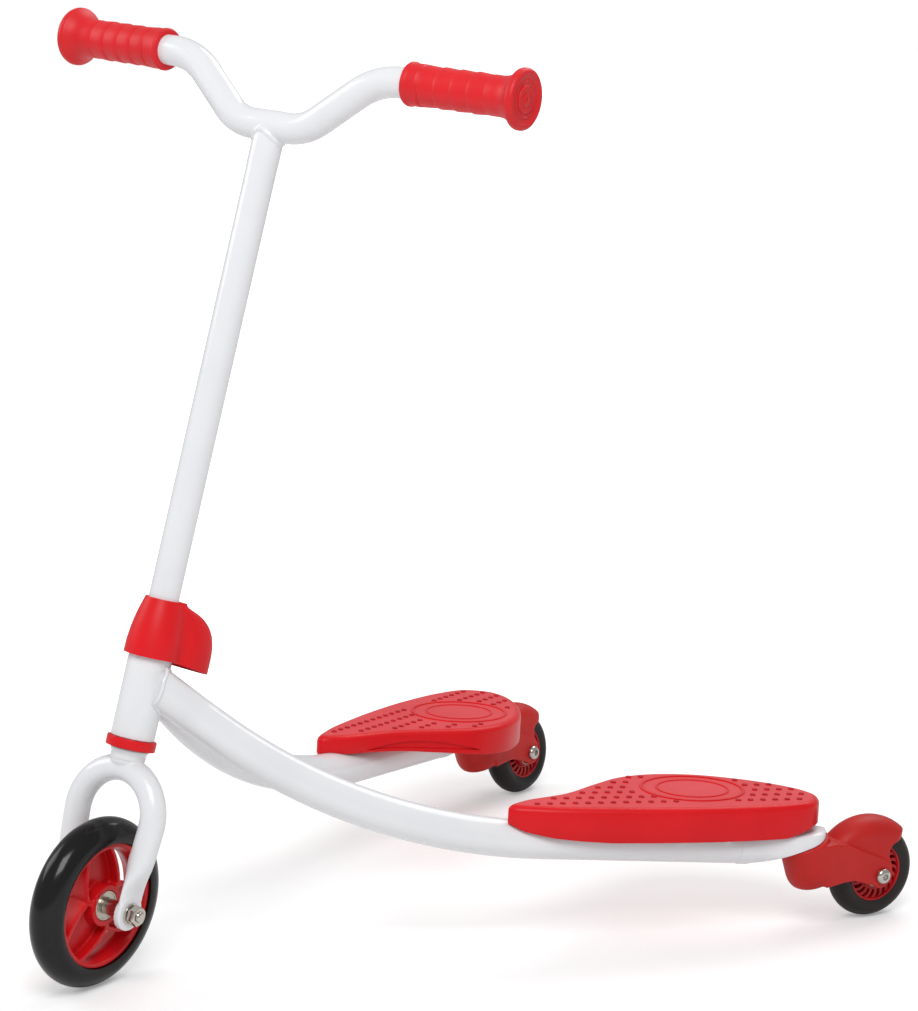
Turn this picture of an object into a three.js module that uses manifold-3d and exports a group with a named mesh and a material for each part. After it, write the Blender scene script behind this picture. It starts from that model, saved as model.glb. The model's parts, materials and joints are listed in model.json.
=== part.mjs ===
import * as THREE from "three";
import { mergeVertices } from "three/addons/utils/BufferGeometryUtils.js";
import Module from "manifold-3d";

// Three wheel kids scooter, in millimetres, +Z up. X runs to the rear and Y to the rider's right.
// A front wheel steers under a leaning head tube, two legs spread out from it, and each leg
// carries a foot deck and ends in a caster whose swivel axis slants.

// Fits shared by all pieces
const fit = 0.3; // left between two pieces that touch
const overrun = 4; // how far a cutting shape runs past what it cuts
const cutterRoom = 110; // half size of a block that cuts everything on one side away
const weldDistance = 0.0005; // points nearer than this are one point

// Steering geometry
const steeringLean = 16.15; // degrees, top to the rear
const steeringAtRest = 18.75; // degrees, front wheel turned to the rider's left

// Front wheel
const frontTyreRadius = 62.5;
const frontTyreWidth = 26.4;
const frontTyreSeatRadius = 46.3;
const frontRimInnerRadius = 39;
const frontRimWidth = 22;
const frontBossRadius = 15;
const frontSpokeCount = 3;
const frontSpokeAngle = 176; // degrees from the rear, towards the top
const frontSpokeWidth = 18;
const frontArmThickness = 4.4;
const frontForkThickness = 3.2;
const frontForkRadius = 18;
const frontForkSpread = 40; // degrees to each side

// Ball bearings, the same in all the wheels and swivels
const bearingRadius = 11;
const bearingBoreRadius = 4;
const bearingWidth = 7;
const bearingRaceRadius = 6;
const bearingCageRadius = 9.4;
const bearingShieldDepth = 0.5;
const bearingShoulder = 1.8; // how far the housing overlaps the bearing's inner side

// Axles and bolts
const axleRadius = bearingBoreRadius - fit;
const spacerRadius = 6;
const nutAcrossFlats = 13;
const nutCornerShare = 1 / Math.cos(Math.PI / 6); // of a nut's half width, out to its corners
const nutCornerRadius = (nutAcrossFlats / 2) * nutCornerShare;
const nutHeight = 6.5;
const frontBoltEnd = 2.5; // bolt end that shows past its nut
const washerRadius = 8;
const washerThickness = 1.2;

// Fork
const forkTubeRadius = 9.5;
const forkArchRadius = 34.7;
const forkArchHeight = 63.3; // of the arch's centre over the axle
const forkTipOffset = 30.75; // of the tip's middle from the wheel's middle plane
const forkTipThickness = 5.5;
const forkTipRadius = 12.6;
const forkFlatHeight = 14;
const forkRoundHeight = 36;
const neckRadius = 14.5;
const neckTaper = 2.5; // where its foot rounds into the arch
const steererRadius = 12.7;
const steererBoreRadius = 11.4;
const steererTop = 207;

// Head tube and headset, heights along the steering axis from the axle
const headTubeRadius = 15.9;
const headTubeBoreRadius = 13.7;
const headTubeBottom = 120.5;
const headTubeLength = 62;
const lowerCupRadius = 18;
const lowerCupHeight = 7.2;
const upperCupRadius = 16.6;
const upperCupHeight = 6;
const cupWall = 1.5;
const cupFloor = 1.5;

// Stem and handlebar
const barRadius = 11.1;
const barWall = 1.6;
const stemBottom = 140;
const barHeight = 567.8;
const barFlatHalf = 30.3; // half of the bar's low middle stretch
const barRiseHalf = 83.3; // half width where the rise ends
const barRise = 43.4;
const barHalfLength = 199;
const barEndLift = 1.5;
const barSweep = 6; // how far the ends lie behind the middle
const barLowBend = 39;
const barHighBend = 55;

// Grips
const gripLength = 101.5;
const gripCollarRadius = 15.5;
const gripCollarLength = 13.5;
const gripRadius = 14.6;
const gripGroove = 0.9;
const gripGroovePitch = 14.4;
const gripRibCount = 4;
const gripFlangeRadius = 21.5;
const gripFlangeThickness = 5.2;
const gripFlangeStart = 84.2;
const gripDiscRadius = 9.5;
const gripDiscRecess = 1.4;
const gripEndRoom = 8.7; // of solid grip past the bar's end
const gripFlareShares = [0.45, 0.75]; // of the way out to the flange, and along to its rim
const gripDishShare = 0.6; // of the way from the end disc to the flange's edge

// Clamp collar and head cover
const collarBottom = 189.5;
const collarHeight = 10.5;
const collarRadius = 14.8;
const collarEarReach = 34;
const collarEarHalfWidth = 9;
const collarSlot = 2.4;
const clampBoltRadius = 3;
const clampBoltReach = 24;
const clampHeadRadius = 5;
const clampHeadHeight = 5;
const coverWall = 2.2;
const coverBottom = 180;
const coverTop = 222;
const coverLipRadius = 13.5;
const coverFrontRadius = 20.4;
const coverLobeReach = 48;
const coverLobeHalfWidth = 24;
const coverRearDrop = 7;
const coverRoof = 3.2;

// Legs
const legRadius = 14.3;
const legWall = 1.8;
const legSwageShare = 0.75; // of the leg's width, where it is pressed flat at the head tube
const legJointHeight = 162.2; // along the steering axis
const legHeadGap = 1;
const legBendReach = 75.6;
const legBendDrop = 25.9; // of the bend below the joint
const legSpreadReach = 182.1;
const legSpreadHalfWidth = 71.2;
const legSpreadHeight = 95.7;
const legEndReach = 451;
const legEndHalfWidth = 190.8;
const legEndHeight = 69;
const legHeadBend = 57;
const legLongBend = 448;

// Casters
const casterWheelRadius = 36.4;
const casterTilt = 18; // degrees, lower end of the swivel axis to the rear
const casterTrail = 52.4;
const casterAxisReach = 505.9;
const casterAxisHalfWidth = 208.1;
const leftSwivelAtRest = -9; // degrees
const rightSwivelAtRest = 15.7; // degrees
const casterTyreWidth = 21;
const casterTyreCrown = 9;
const casterHubRadius = 22.6;
const casterHubWidth = 18;
const casterBossWidth = 22.4;
const casterBossRadius = 13;
const casterSlotCount = 18;
const casterSlotInner = 14.4;
const casterSlotOuter = 20.6;
const casterSlotWidth = 3;
const casterSlotTwist = 10; // degrees between a slot's inner and outer end
const vaneDepthShare = 0.8; // of the hub's half width
const boltHeadRadius = 6;
const boltHeadHeight = 4.3;
const boltHeadDome = 1.6;
const boltDomeShares = [0.72, 0.25]; // of the head's radius, and of the dome down from its top
const barrelBoreRadius = 2.1;

// Caster yoke
const yokeHousingRadius = 19.4;
const yokeHousingBottom = 2;
const yokeHousingTop = 33.5;
const yokeBottomRound = 6;
const yokeOuterHalf = 17.3;
const yokeInnerHalf = 12.5;
const yokeWheelSpaceRadius = 38.9;
const yokeBossRadius = 10.4;
const yokeBossStart = 222; // degrees round the axle
const yokeBossEnd = 375;
const yokeRoundShare = 0.3; // of the bottom's rounding, at its middle
const fenderRadius = 47;
const fenderForward = 5; // of the fender's centre before the axle
const fenderDrop = 3; // of the fender's centre below the axle
const fenderHalfWidth = 15.2;
const lowerBearingHeight = 3;
const upperBearingHeight = 24;

// Caster mount
const mountPlaneHeight = 34;
const mountRadius = 17;
const mountHalfHeight = 11.3;
const mountSeatRadius = 6.5;
const roundPower = 2; // of a round section
const mountPower = 5; // of the pad's squarish section
// Where the mount widens: shares of the way to the axis, of the widening and of the flattening
const mountNeckShares = [[0.3, 0, 0.3], [0.65, 0.6, 0.8]];
const mountEndAngles = [0, 32, 58, 78]; // degrees round the pad's end
const swivelHeadRadius = 7;
const swivelHeadHeight = 5;
const swivelNutHeight = 6.5;

// Decks
const deckReach = 435; // of the raised ring's centre
const deckHalfWidth = 150; // of the raised ring's centre
const deckHeight = 105;
const deckTilt = 3.31; // degrees, nose up
const deckLength = 237;
const deckWidth = 131;
const deckSide = 26;
const deckWall = 3;
const deckTopThickness = 4;
const deckEdgeInset = 5;
const deckEdgeDrop = 4.5;
const deckRingRadius = 38;
const deckRingWidth = 2.6;
const deckRingHeight = 0.8;
const deckRingSquashShare = 0.9; // of the raised ring's length, across the deck
const recessLength = 84; // of the lens-shaped recess in the inner side
const recessForward = 63; // of its middle before the raised ring's centre
const recessLevel = 15.5; // of its ends below the top
const recessArch = 5; // of its upper edge over its ends
const recessSag = 4; // of its lower edge below its ends
const recessDepth = 1;
const bracketReach = 418;
const bracketLength = 40;
const bracketHalfWidth = 22.5;
const bracketThickness = 3;
const bracketFlangeDepth = 10;
const bracketFlangeHalfWidth = 17;
const screwOffset = 18;
const screwRadius = 2;
const screwHeadRadius = 4.2;
const screwHeadHeight = 2.6;
const screwSinkShare = 0.7; // of the head's radius, at its flat end
const screwLength = 12;
const screwBossRadius = 5.5;

// Facets around the round pieces
const wheelSides = 32;
const casterSides = 20;
const fenderSides = 24;
const deckPoints = 32; // round a deck's outline
const tubeSides = 14;
const boreSides = 6;
const ringSides = 16;
const smallSides = 8;
const bearingSides = 10;
const hexSides = 6;
const bendSteps = 3;
const archSteps = 10;
const arcSteps = 8;

const wasm = await Module();
wasm.setup();

const radians = THREE.MathUtils.degToRad;
const mix = THREE.MathUtils.lerp;
const point = (x, y, z) => new THREE.Vector3(x, y, z);
const upward = point(0, 0, 1);
const rearward = point(1, 0, 0);

// Shape helpers

function signedVolume(positions, corners) {
  const [a, b, c] = [new THREE.Vector3(), new THREE.Vector3(), new THREE.Vector3()];
  let volume = 0;
  for (let i = 0; i < corners.length; i += 3) {
    a.fromArray(positions, corners[i] * 3);
    b.fromArray(positions, corners[i + 1] * 3);
    c.fromArray(positions, corners[i + 2] * 3);
    volume += a.dot(b.cross(c));
  }
  return volume;
}

// A closed geometry as a solid that can be joined and cut, with its faces outwards.
function solidOf(geometry) {
  const source = geometry.index ? geometry.toNonIndexed() : geometry;
  const bare = new THREE.BufferGeometry();
  bare.setAttribute("position", source.getAttribute("position"));
  const merged = mergeVertices(bare, weldDistance);
  const positions = merged.getAttribute("position").array;
  const corners = [];
  for (let i = 0; i < merged.index.count; i += 3) {
    const [a, b, c] = merged.index.array.slice(i, i + 3);
    if (a !== b && b !== c && c !== a) corners.push(a, b, c);
  }
  if (signedVolume(positions, corners) < 0) corners.reverse();
  const triVerts = new Uint32Array(corners);
  return new wasm.Manifold(new wasm.Mesh({ numProp: 3, vertProperties: positions, triVerts }));
}

function geometryOf(solid) {
  const mesh = solid.getMesh();
  const geometry = new THREE.BufferGeometry();
  geometry.setAttribute("position", new THREE.BufferAttribute(mesh.vertProperties, mesh.numProp));
  geometry.setIndex(new THREE.BufferAttribute(mesh.triVerts, 1));
  return geometry;
}

const ordered = (a, b) => [Math.min(a, b), Math.max(a, b)];
const joined = (...solids) => solids.reduce((whole, solid) => whole.add(solid));
const cut = (body, ...cutters) => cutters.reduce((rest, cutter) => rest.subtract(cutter), body);

// A skin over rings of equally many points, closed at both ends.
function loft(rings) {
  const count = rings[0].length;
  const points = rings.flat();
  const faces = [];
  for (let start = 0; start < points.length - count; start += count) {
    for (let k = 0; k < count; k++) {
      const next = (k + 1) % count;
      faces.push(start + k, start + next, start + count + next);
      faces.push(start + k, start + count + next, start + count + k);
    }
  }
  const last = points.length - count;
  for (const [start, flipped] of [[0, true], [last, false]]) {
    const middle = points.slice(start, start + count).reduce((sum, p) => sum.add(p), point(0, 0, 0));
    const centre = points.push(middle.divideScalar(count)) - 1;
    for (let k = 0; k < count; k++) {
      const next = start + ((k + 1) % count);
      faces.push(centre, ...(flipped ? [next, start + k] : [start + k, next]));
    }
  }
  const geometry = new THREE.BufferGeometry().setFromPoints(points);
  geometry.setIndex(faces);
  return geometry;
}

// An oval ring of points round a centre, square to the given direction.
function ovalRing(centre, along, hint, halfSide, halfUp, sides, power = roundPower) {
  const side = hint.clone().cross(along).normalize();
  const up = along.clone().cross(side).normalize();
  return Array.from({ length: sides }, (_, k) => {
    const angle = (2 * Math.PI * k) / sides;
    const [c, s] = [Math.cos(angle), Math.sin(angle)];
    const across = halfSide * Math.sign(c) * Math.abs(c) ** (2 / power);
    const above = halfUp * Math.sign(s) * Math.abs(s) ** (2 / power);
    return centre.clone().addScaledVector(side, across).addScaledVector(up, above);
  });
}

// A tube along a path of points, whose half sizes may change along it.
function sweep(path, hint, sides, sectionAt) {
  const rings = path.map((centre, i) => {
    const ahead = path[Math.min(i + 1, path.length - 1)].clone().sub(centre).normalize();
    const behind = centre.clone().sub(path[Math.max(i - 1, 0)]).normalize();
    const along = ahead.add(behind).normalize();
    const [halfSide, halfUp] = sectionAt(centre, i);
    return ovalRing(centre, along, hint, halfSide, halfUp, sides);
  });
  return loft(rings);
}

// The points of a bent tube's centre line: straight runs with an arc at each inner corner.
function bentPath(corners, bendRadii) {
  const path = [corners[0]];
  bendRadii.forEach((radius, i) => {
    const corner = corners[i + 1];
    const back = corners[i].clone().sub(corner).normalize();
    const on = corners[i + 2].clone().sub(corner).normalize();
    const halfAngle = back.angleTo(on) / 2;
    const inward = back.clone().add(on).normalize();
    const centre = corner.clone().addScaledVector(inward, radius / Math.sin(halfAngle));
    const spoke = corner.clone().addScaledVector(back, radius / Math.tan(halfAngle)).sub(centre);
    const hinge = on.clone().cross(back).normalize();
    for (let k = 0; k <= bendSteps; k++) {
      const turn = ((Math.PI - 2 * halfAngle) * k) / bendSteps;
      path.push(spoke.clone().applyAxisAngle(hinge, turn).add(centre));
    }
  });
  path.push(corners.at(-1));
  return path;
}

// The same path, made longer at both ends.
function lengthened(path, extra) {
  const first = path[0].clone().sub(path[1]).setLength(extra).add(path[0]);
  const last = path.at(-1).clone().sub(path.at(-2)).setLength(extra).add(path.at(-1));
  return [first, ...path.slice(1, -1), last];
}

// A profile of [radius, height] points turned round Z. Round Y, the height runs along Y.
const aroundY = (profile, sides) =>
  new THREE.LatheGeometry(profile.map(([r, h]) => new THREE.Vector2(r, h)), sides);
const aroundZ = (profile, sides) => aroundY(profile, sides).rotateX(Math.PI / 2);

const discProfile = (radius, low, high) => [[0, low], [radius, low], [radius, high], [0, high]];
const ringProfile = (inner, outer, low, high) =>
  [[inner, low], [outer, low], [outer, high], [inner, high], [inner, low]];

const rod = (radius, low, high, sides) => solidOf(aroundZ(discProfile(radius, low, high), sides));
const rodAcross = (radius, low, high, sides) =>
  solidOf(aroundY(discProfile(radius, low, high), sides));
const sleeve = (inner, outer, low, high, sides) =>
  solidOf(aroundZ(ringProfile(inner, outer, low, high), sides));
const sleeveAcross = (inner, outer, low, high, sides) =>
  solidOf(aroundY(ringProfile(inner, outer, low, high), sides));

function block(low, high) {
  const size = high.clone().sub(low);
  const centre = low.clone().add(high).divideScalar(2);
  return new THREE.BoxGeometry(size.x, size.y, size.z).translate(centre.x, centre.y, centre.z);
}

function arc(x, y, radius, from, to, steps) {
  return Array.from({ length: steps + 1 }, (_, k) => {
    const angle = radians(mix(from, to, k / steps));
    return [x + radius * Math.cos(angle), y + radius * Math.sin(angle)];
  });
}

// A flat outline of [x, z] points, as thick as it reaches from one y to another.
function sidePlate(outline, low, high) {
  const shape = new THREE.Shape(outline.map(([x, z]) => new THREE.Vector2(x, z)));
  const settings = { depth: high - low, bevelEnabled: false };
  return new THREE.ExtrudeGeometry(shape, settings).rotateX(Math.PI / 2).translate(0, high, 0);
}

// Finishes and the scene graph

const finish = (color, roughness, metalness) => ({ color, roughness, metalness });
const whitePaint = finish(0xe1e3e6, 0.25, 0);
const redPlastic = finish(0xd72328, 0.4, 0);
const casterPlastic = finish(0xb92d28, 0.55, 0);
const hubPlastic = finish(0xc81e23, 0.35, 0);
const blackTyre = finish(0x231f1f, 0.4, 0);
const zinc = finish(0xc9c4b8, 0.3, 0.9);
const steel = finish(0xa9a59c, 0.35, 0.9);

function addGroup(parent, position, axis, angle) {
  const group = new THREE.Group();
  if (position) group.position.copy(position);
  if (axis) group.rotation[axis] = radians(angle);
  parent.add(group);
  return group;
}

function addPiece(parent, name, solid, look) {
  const mesh = new THREE.Mesh(geometryOf(solid), new THREE.MeshStandardMaterial(look));
  mesh.name = name;
  parent.add(mesh);
  return mesh;
}

// Ball bearing round Y, its shielded face outwards at the given end.
function bearing(innerFace, outerFace) {
  const shield = outerFace - Math.sign(outerFace - innerFace) * bearingShieldDepth;
  const profile = [
    [bearingBoreRadius, innerFace],
    [bearingRadius, innerFace],
    [bearingRadius, outerFace],
    [bearingCageRadius, outerFace],
    [bearingCageRadius, shield],
    [bearingRaceRadius, shield],
    [bearingRaceRadius, outerFace],
    [bearingBoreRadius, outerFace],
    [bearingBoreRadius, innerFace],
  ];
  return aroundY(profile, bearingSides);
}

// Six-sided nut round Y with a bore that clears the thread.
function hexNut(low, high) {
  const bore = rodAcross(axleRadius + fit, low - overrun, high + overrun, smallSides);
  return rodAcross(nutCornerRadius, low, high, hexSides).subtract(bore);
}

// Front wheel

const frontHubHalf = frontRimWidth / 2;
const frontBearingInner = frontHubHalf - bearingWidth;

function frontTyre() {
  const sectionRadius = frontTyreWidth / 2;
  const sectionCentre = frontTyreRadius - sectionRadius;
  const seatCosine = (frontTyreSeatRadius - sectionCentre) / sectionRadius;
  const seatAngle = THREE.MathUtils.radToDeg(Math.acos(seatCosine));
  const section = arc(sectionCentre, 0, sectionRadius, -seatAngle, seatAngle, arcSteps);
  return solidOf(aroundY([...section, section[0]], wheelSides));
}

// One Y-shaped spoke: an arm from the boss that forks to the rim.
function spokeOutlines() {
  const rimRadius = (frontRimInnerRadius + frontTyreSeatRadius) / 2;
  const strip = (from, to, thickness) => {
    const along = to.clone().sub(from).normalize();
    const side = new THREE.Vector2(-along.y, along.x).multiplyScalar(thickness / 2);
    return [[from, 1], [to, 1], [to, -1], [from, -1]].map(([end, sign]) => {
      const corner = end.clone().addScaledVector(side, sign);
      return [corner.x, corner.y];
    });
  };
  const polar = (radius, angle) =>
    new THREE.Vector2(radius * Math.cos(radians(angle)), radius * Math.sin(radians(angle)));
  const root = polar(frontBossRadius - fit, 0);
  const fork = polar(frontForkRadius, 0);
  const arm = strip(root, polar(frontForkRadius + frontArmThickness / 2, 0), frontArmThickness);
  const tips = [-1, 1].map((sign) => polar(rimRadius, sign * frontForkSpread));
  return [arm, ...tips.map((tip) => strip(fork, tip, frontForkThickness))];
}

function frontHub() {
  const rimOuter = frontTyreSeatRadius - fit;
  const rim = sleeveAcross(frontRimInnerRadius, rimOuter, -frontHubHalf, frontHubHalf, wheelSides);
  const boss = rodAcross(frontBossRadius, -frontHubHalf, frontHubHalf, ringSides);
  const pitch = 360 / frontSpokeCount;
  let hub = joined(rim, boss);
  for (let i = 0; i < frontSpokeCount; i++) {
    const turn = -radians(frontSpokeAngle + i * pitch);
    for (const outline of spokeOutlines()) {
      const plate = sidePlate(outline, -frontSpokeWidth / 2, frontSpokeWidth / 2);
      hub = hub.add(solidOf(plate.rotateY(turn)));
    }
  }
  const pocket = bearingRadius + fit;
  const pockets = [-1, 1].map((side) => {
    const ends = ordered(side * (frontBearingInner - fit), side * (frontHubHalf + overrun));
    return rodAcross(pocket, ...ends, ringSides);
  });
  const bore = rodAcross(bearingRadius - bearingShoulder, -frontHubHalf, frontHubHalf, tubeSides);
  return cut(hub, bore, ...pockets);
}

function frontWheelPieces(wheel) {
  addPiece(wheel, "front_tyre", frontTyre(), blackTyre);
  addPiece(wheel, "front_hub", frontHub(), hubPlastic);
  for (const [side, name] of [[-1, "left"], [1, "right"]]) {
    const ball = bearing(side * frontBearingInner, side * frontHubHalf);
    addPiece(wheel, `front_${name}_bearing`, solidOf(ball), steel);
  }
  const reach = frontBearingInner - fit;
  const spacer = sleeveAcross(axleRadius + fit, spacerRadius, -reach, reach, smallSides);
  addPiece(wheel, "front_inner_spacer", spacer, zinc);
}

// Fork and front axle

const forkInner = forkTipOffset - forkTipThickness / 2;
const forkOuter = forkTipOffset + forkTipThickness / 2;

function fork() {
  const halfTube = forkTubeRadius;
  const roundOffset = mix(forkTipOffset, forkArchRadius, forkRoundHeight / forkArchHeight);
  const bend = arc(0, forkArchHeight, forkArchRadius, 180, 0, archSteps);
  const path = [
    point(0, -forkTipOffset, forkFlatHeight),
    point(0, -roundOffset, forkRoundHeight),
    ...bend.map(([y, height]) => point(0, y, height)),
    point(0, roundOffset, forkRoundHeight),
    point(0, forkTipOffset, forkFlatHeight),
  ];
  const tube = sweep(path, rearward, tubeSides, (centre) => {
    const roundness = THREE.MathUtils.smoothstep(centre.z, forkFlatHeight, forkRoundHeight);
    return [mix(forkTipThickness / 2, halfTube, roundness), mix(forkTipRadius, halfTube, roundness)];
  });
  const tips = [-1, 1].map((side) => {
    const top = forkFlatHeight + overrun;
    const outline = [
      ...arc(0, 0, forkTipRadius, 180, 360, arcSteps),
      [forkTipRadius, forkFlatHeight],
      [halfTube, top],
      [-halfTube, top],
      [-forkTipRadius, forkFlatHeight],
    ];
    return solidOf(sidePlate(outline, ...ordered(side * forkInner, side * forkOuter)));
  });
  const archTop = forkArchHeight + forkArchRadius;
  const neckTop = headTubeBottom - fit - lowerCupHeight - fit;
  const neck = [
    [0, archTop - forkTubeRadius / 4],
    [neckRadius - neckTaper, archTop - forkTubeRadius / 4],
    [neckRadius, archTop + forkTubeRadius / 4],
    [neckRadius, neckTop],
    [steererRadius, neckTop],
    [steererRadius, steererTop],
    [0, steererTop],
  ];
  const steerer = solidOf(aroundZ(neck, ringSides));
  const bore = rod(steererBoreRadius, archTop + forkTubeRadius, steererTop + overrun, ringSides);
  const axleHole = rodAcross(axleRadius + fit, -forkOuter - overrun, forkOuter + overrun, smallSides);
  return cut(joined(solidOf(tube), ...tips, steerer), bore, axleHole);
}

// Bolt round Y, its six-sided head on the rider's right.
function frontAxleBolt() {
  const headFace = forkOuter + fit + washerThickness + fit;
  const end = headFace + nutHeight + frontBoltEnd;
  const shank = rodAcross(axleRadius, -end, headFace + fit, smallSides);
  return shank.add(rodAcross(nutCornerRadius, headFace, headFace + nutHeight, hexSides));
}

function frontAxlePieces(steering) {
  addPiece(steering, "front_axle_bolt", frontAxleBolt(), zinc);
  const nutFace = forkOuter + fit + washerThickness + fit;
  addPiece(steering, "front_axle_nut", hexNut(-nutFace - nutHeight, -nutFace), zinc);
  for (const [side, name] of [[-1, "left"], [1, "right"]]) {
    const washerEnds = ordered(side * (forkOuter + fit), side * (forkOuter + fit + washerThickness));
    const spacerEnds = ordered(side * (frontHubHalf + fit), side * (forkInner - fit));
    const bore = axleRadius + fit;
    const washer = sleeveAcross(bore, washerRadius, ...washerEnds, tubeSides);
    const spacer = sleeveAcross(bore, spacerRadius, ...spacerEnds, smallSides);
    addPiece(steering, `${name}_axle_washer`, washer, zinc);
    addPiece(steering, `${name}_axle_spacer`, spacer, zinc);
  }
}

// Head tube and headset

const headTubeTop = headTubeBottom + headTubeLength;
const headsetBore = steererRadius + fit;

function headTube() {
  return sleeve(headTubeBoreRadius, headTubeRadius, headTubeBottom, headTubeTop, ringSides);
}

// A cup that holds its bearing: open at the mouth, with a floor against the head tube.
function headsetCup(radius, mouth, floor) {
  const step = Math.sign(floor - mouth) * cupFloor;
  const profile = [
    [radius - cupWall, mouth],
    [radius, mouth],
    [radius, floor],
    [headsetBore, floor],
    [headsetBore, floor - step],
    [radius - cupWall, floor - step],
    [radius - cupWall, mouth],
  ];
  return solidOf(aroundZ(profile, ringSides));
}

function headsetPieces(head) {
  const lowerFloor = headTubeBottom - fit;
  const lowerMouth = lowerFloor - lowerCupHeight;
  const upperFloor = headTubeTop + fit;
  const upperMouth = upperFloor + upperCupHeight;
  addPiece(head, "head_tube", headTube(), whitePaint);
  addPiece(head, "lower_headset_cup", headsetCup(lowerCupRadius, lowerMouth, lowerFloor), redPlastic);
  addPiece(head, "upper_headset_cup", headsetCup(upperCupRadius, upperMouth, upperFloor), steel);
  const lowerOuter = lowerCupRadius - cupWall - fit;
  const upperOuter = upperCupRadius - cupWall - fit;
  const lowerTop = lowerFloor - cupFloor - fit;
  const upperLow = upperFloor + cupFloor + fit;
  const lower = sleeve(headsetBore, lowerOuter, lowerMouth, lowerTop, ringSides);
  const upper = sleeve(headsetBore, upperOuter, upperLow, upperMouth, ringSides);
  addPiece(head, "lower_headset_bearing", lower, steel);
  addPiece(head, "upper_headset_bearing", upper, steel);
}

// Stem, handlebar and grips

function barPath() {
  const corners = [
    point(barSweep, -barHalfLength, barHeight + barRise + barEndLift),
    point(0, -barRiseHalf, barHeight + barRise),
    point(0, -barFlatHalf, barHeight),
    point(0, barFlatHalf, barHeight),
    point(0, barRiseHalf, barHeight + barRise),
    point(barSweep, barHalfLength, barHeight + barRise + barEndLift),
  ];
  return bentPath(corners, [barHighBend, barLowBend, barLowBend, barHighBend]);
}

function crossbar() {
  const path = barPath();
  const outer = sweep(path, rearward, tubeSides, () => [barRadius, barRadius]);
  const bore = barRadius - barWall;
  const inner = sweep(lengthened(path, overrun), rearward, boreSides, () => [bore, bore]);
  return solidOf(outer).subtract(solidOf(inner));
}

function stem() {
  const tube = sleeve(barRadius - barWall, barRadius, stemBottom, barHeight, ringSides);
  const saddle = rodAcross(barRadius + fit, -barFlatHalf, barFlatHalf, ringSides);
  return tube.subtract(saddle.translate(0, 0, barHeight));
}

// Hand grip along Z from its inner end, closed by a dished flange.
function grip() {
  const profile = [[0, 0], [gripCollarRadius - gripGroove, 0], [gripCollarRadius, gripGroove]];
  profile.push([gripCollarRadius, gripCollarLength]);
  for (let i = 0; i < gripRibCount; i++) {
    const start = gripCollarLength + gripGroove + i * gripGroovePitch;
    profile.push([gripRadius - gripGroove, start], [gripRadius, start + gripGroove]);
  }
  const rim = gripLength - gripFlangeThickness;
  profile.push([gripRadius - gripGroove, gripFlangeStart - gripGroove]);
  profile.push([gripRadius + gripGroove, gripFlangeStart]);
  const [flareOut, flareAlong] = gripFlareShares;
  profile.push([mix(gripRadius, gripFlangeRadius, flareOut), mix(gripFlangeStart, rim, flareAlong)]);
  profile.push([gripFlangeRadius - gripGroove, rim - gripGroove], [gripFlangeRadius, rim + gripGroove]);
  profile.push([mix(gripDiscRadius, gripFlangeRadius, gripDishShare), gripLength - gripDiscRecess / 2]);
  profile.push([gripDiscRadius, gripLength - gripDiscRecess], [gripDiscRadius - gripDiscRecess, gripLength]);
  profile.push([0, gripLength]);
  const solid = solidOf(aroundZ(profile, tubeSides));
  return solid.subtract(rod(barRadius + fit, -overrun, gripLength - gripEndRoom, ringSides));
}

function handlebarPieces(steering) {
  addPiece(steering, "stem", stem(), whitePaint);
  addPiece(steering, "crossbar", crossbar(), whitePaint);
  const path = barPath();
  const ends = [[path[0], path[1], "left_grip"], [path.at(-1), path.at(-2), "right_grip"]];
  for (const [end, before, name] of ends) {
    const outward = end.clone().sub(before).normalize();
    const holder = addGroup(steering, end.clone().addScaledVector(outward, gripEndRoom - gripLength + fit));
    holder.quaternion.setFromUnitVectors(upward, outward);
    addPiece(holder, name, grip(), redPlastic);
  }
}

// Clamp collar and head cover

function clampCollar() {
  const top = collarBottom + collarHeight;
  const ring = rod(collarRadius, collarBottom, top, ringSides);
  const ears = block(
    point(0, -collarEarHalfWidth, collarBottom),
    point(collarEarReach, collarEarHalfWidth, top),
  );
  const half = collarSlot / 2;
  const slot = block(
    point(0, -half, collarBottom - overrun),
    point(collarEarReach + overrun, half, top + overrun),
  );
  const bore = rod(steererRadius + fit, collarBottom - overrun, top + overrun, ringSides);
  const reach = collarEarHalfWidth + overrun;
  const hole = aroundY(discProfile(clampBoltRadius + fit, -reach, reach), smallSides);
  hole.translate(clampBoltReach, 0, collarBottom + collarHeight / 2);
  return cut(joined(ring, solidOf(ears)), bore, solidOf(slot), solidOf(hole));
}

function clampBolt() {
  const face = collarEarHalfWidth + fit;
  const profile = [
    [0, -collarEarHalfWidth],
    [clampBoltRadius, -collarEarHalfWidth],
    [clampBoltRadius, face],
    [clampHeadRadius, face],
    [clampHeadRadius, face + clampHeadHeight],
    [0, face + clampHeadHeight],
  ];
  return solidOf(aroundY(profile, smallSides).translate(clampBoltReach, 0, collarBottom + collarHeight / 2));
}

// The cover's outline at one height: a round front and a wide lobe behind it.
// Each lobe point is a share of the reach and of the half width, where the first few points count
// the width from the front's radius: they draw in to a waist.
const lobeShares = [[0.18, -0.6], [0.31, 0.25], [0.44, 1], [0.72, 1], [0.88, 0.93], [0.96, 0.72], [1, 0.3]];
const lobeFlankCount = 3;

function coverRing(frontRadius, reach, halfWidth, heightAt) {
  const front = arc(0, 0, frontRadius, 90, 270, arcSteps);
  const lobe = lobeShares.map(([reachShare, widthShare], i) => {
    const inner = i < lobeFlankCount ? frontRadius : 0;
    return [reachShare * reach, -mix(inner, halfWidth, widthShare)];
  });
  const otherSide = lobe.slice().reverse().map(([x, y]) => [x, -y]);
  return [...front, ...lobe, ...otherSide].map(([x, y]) => point(x, y, heightAt(x)));
}

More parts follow.
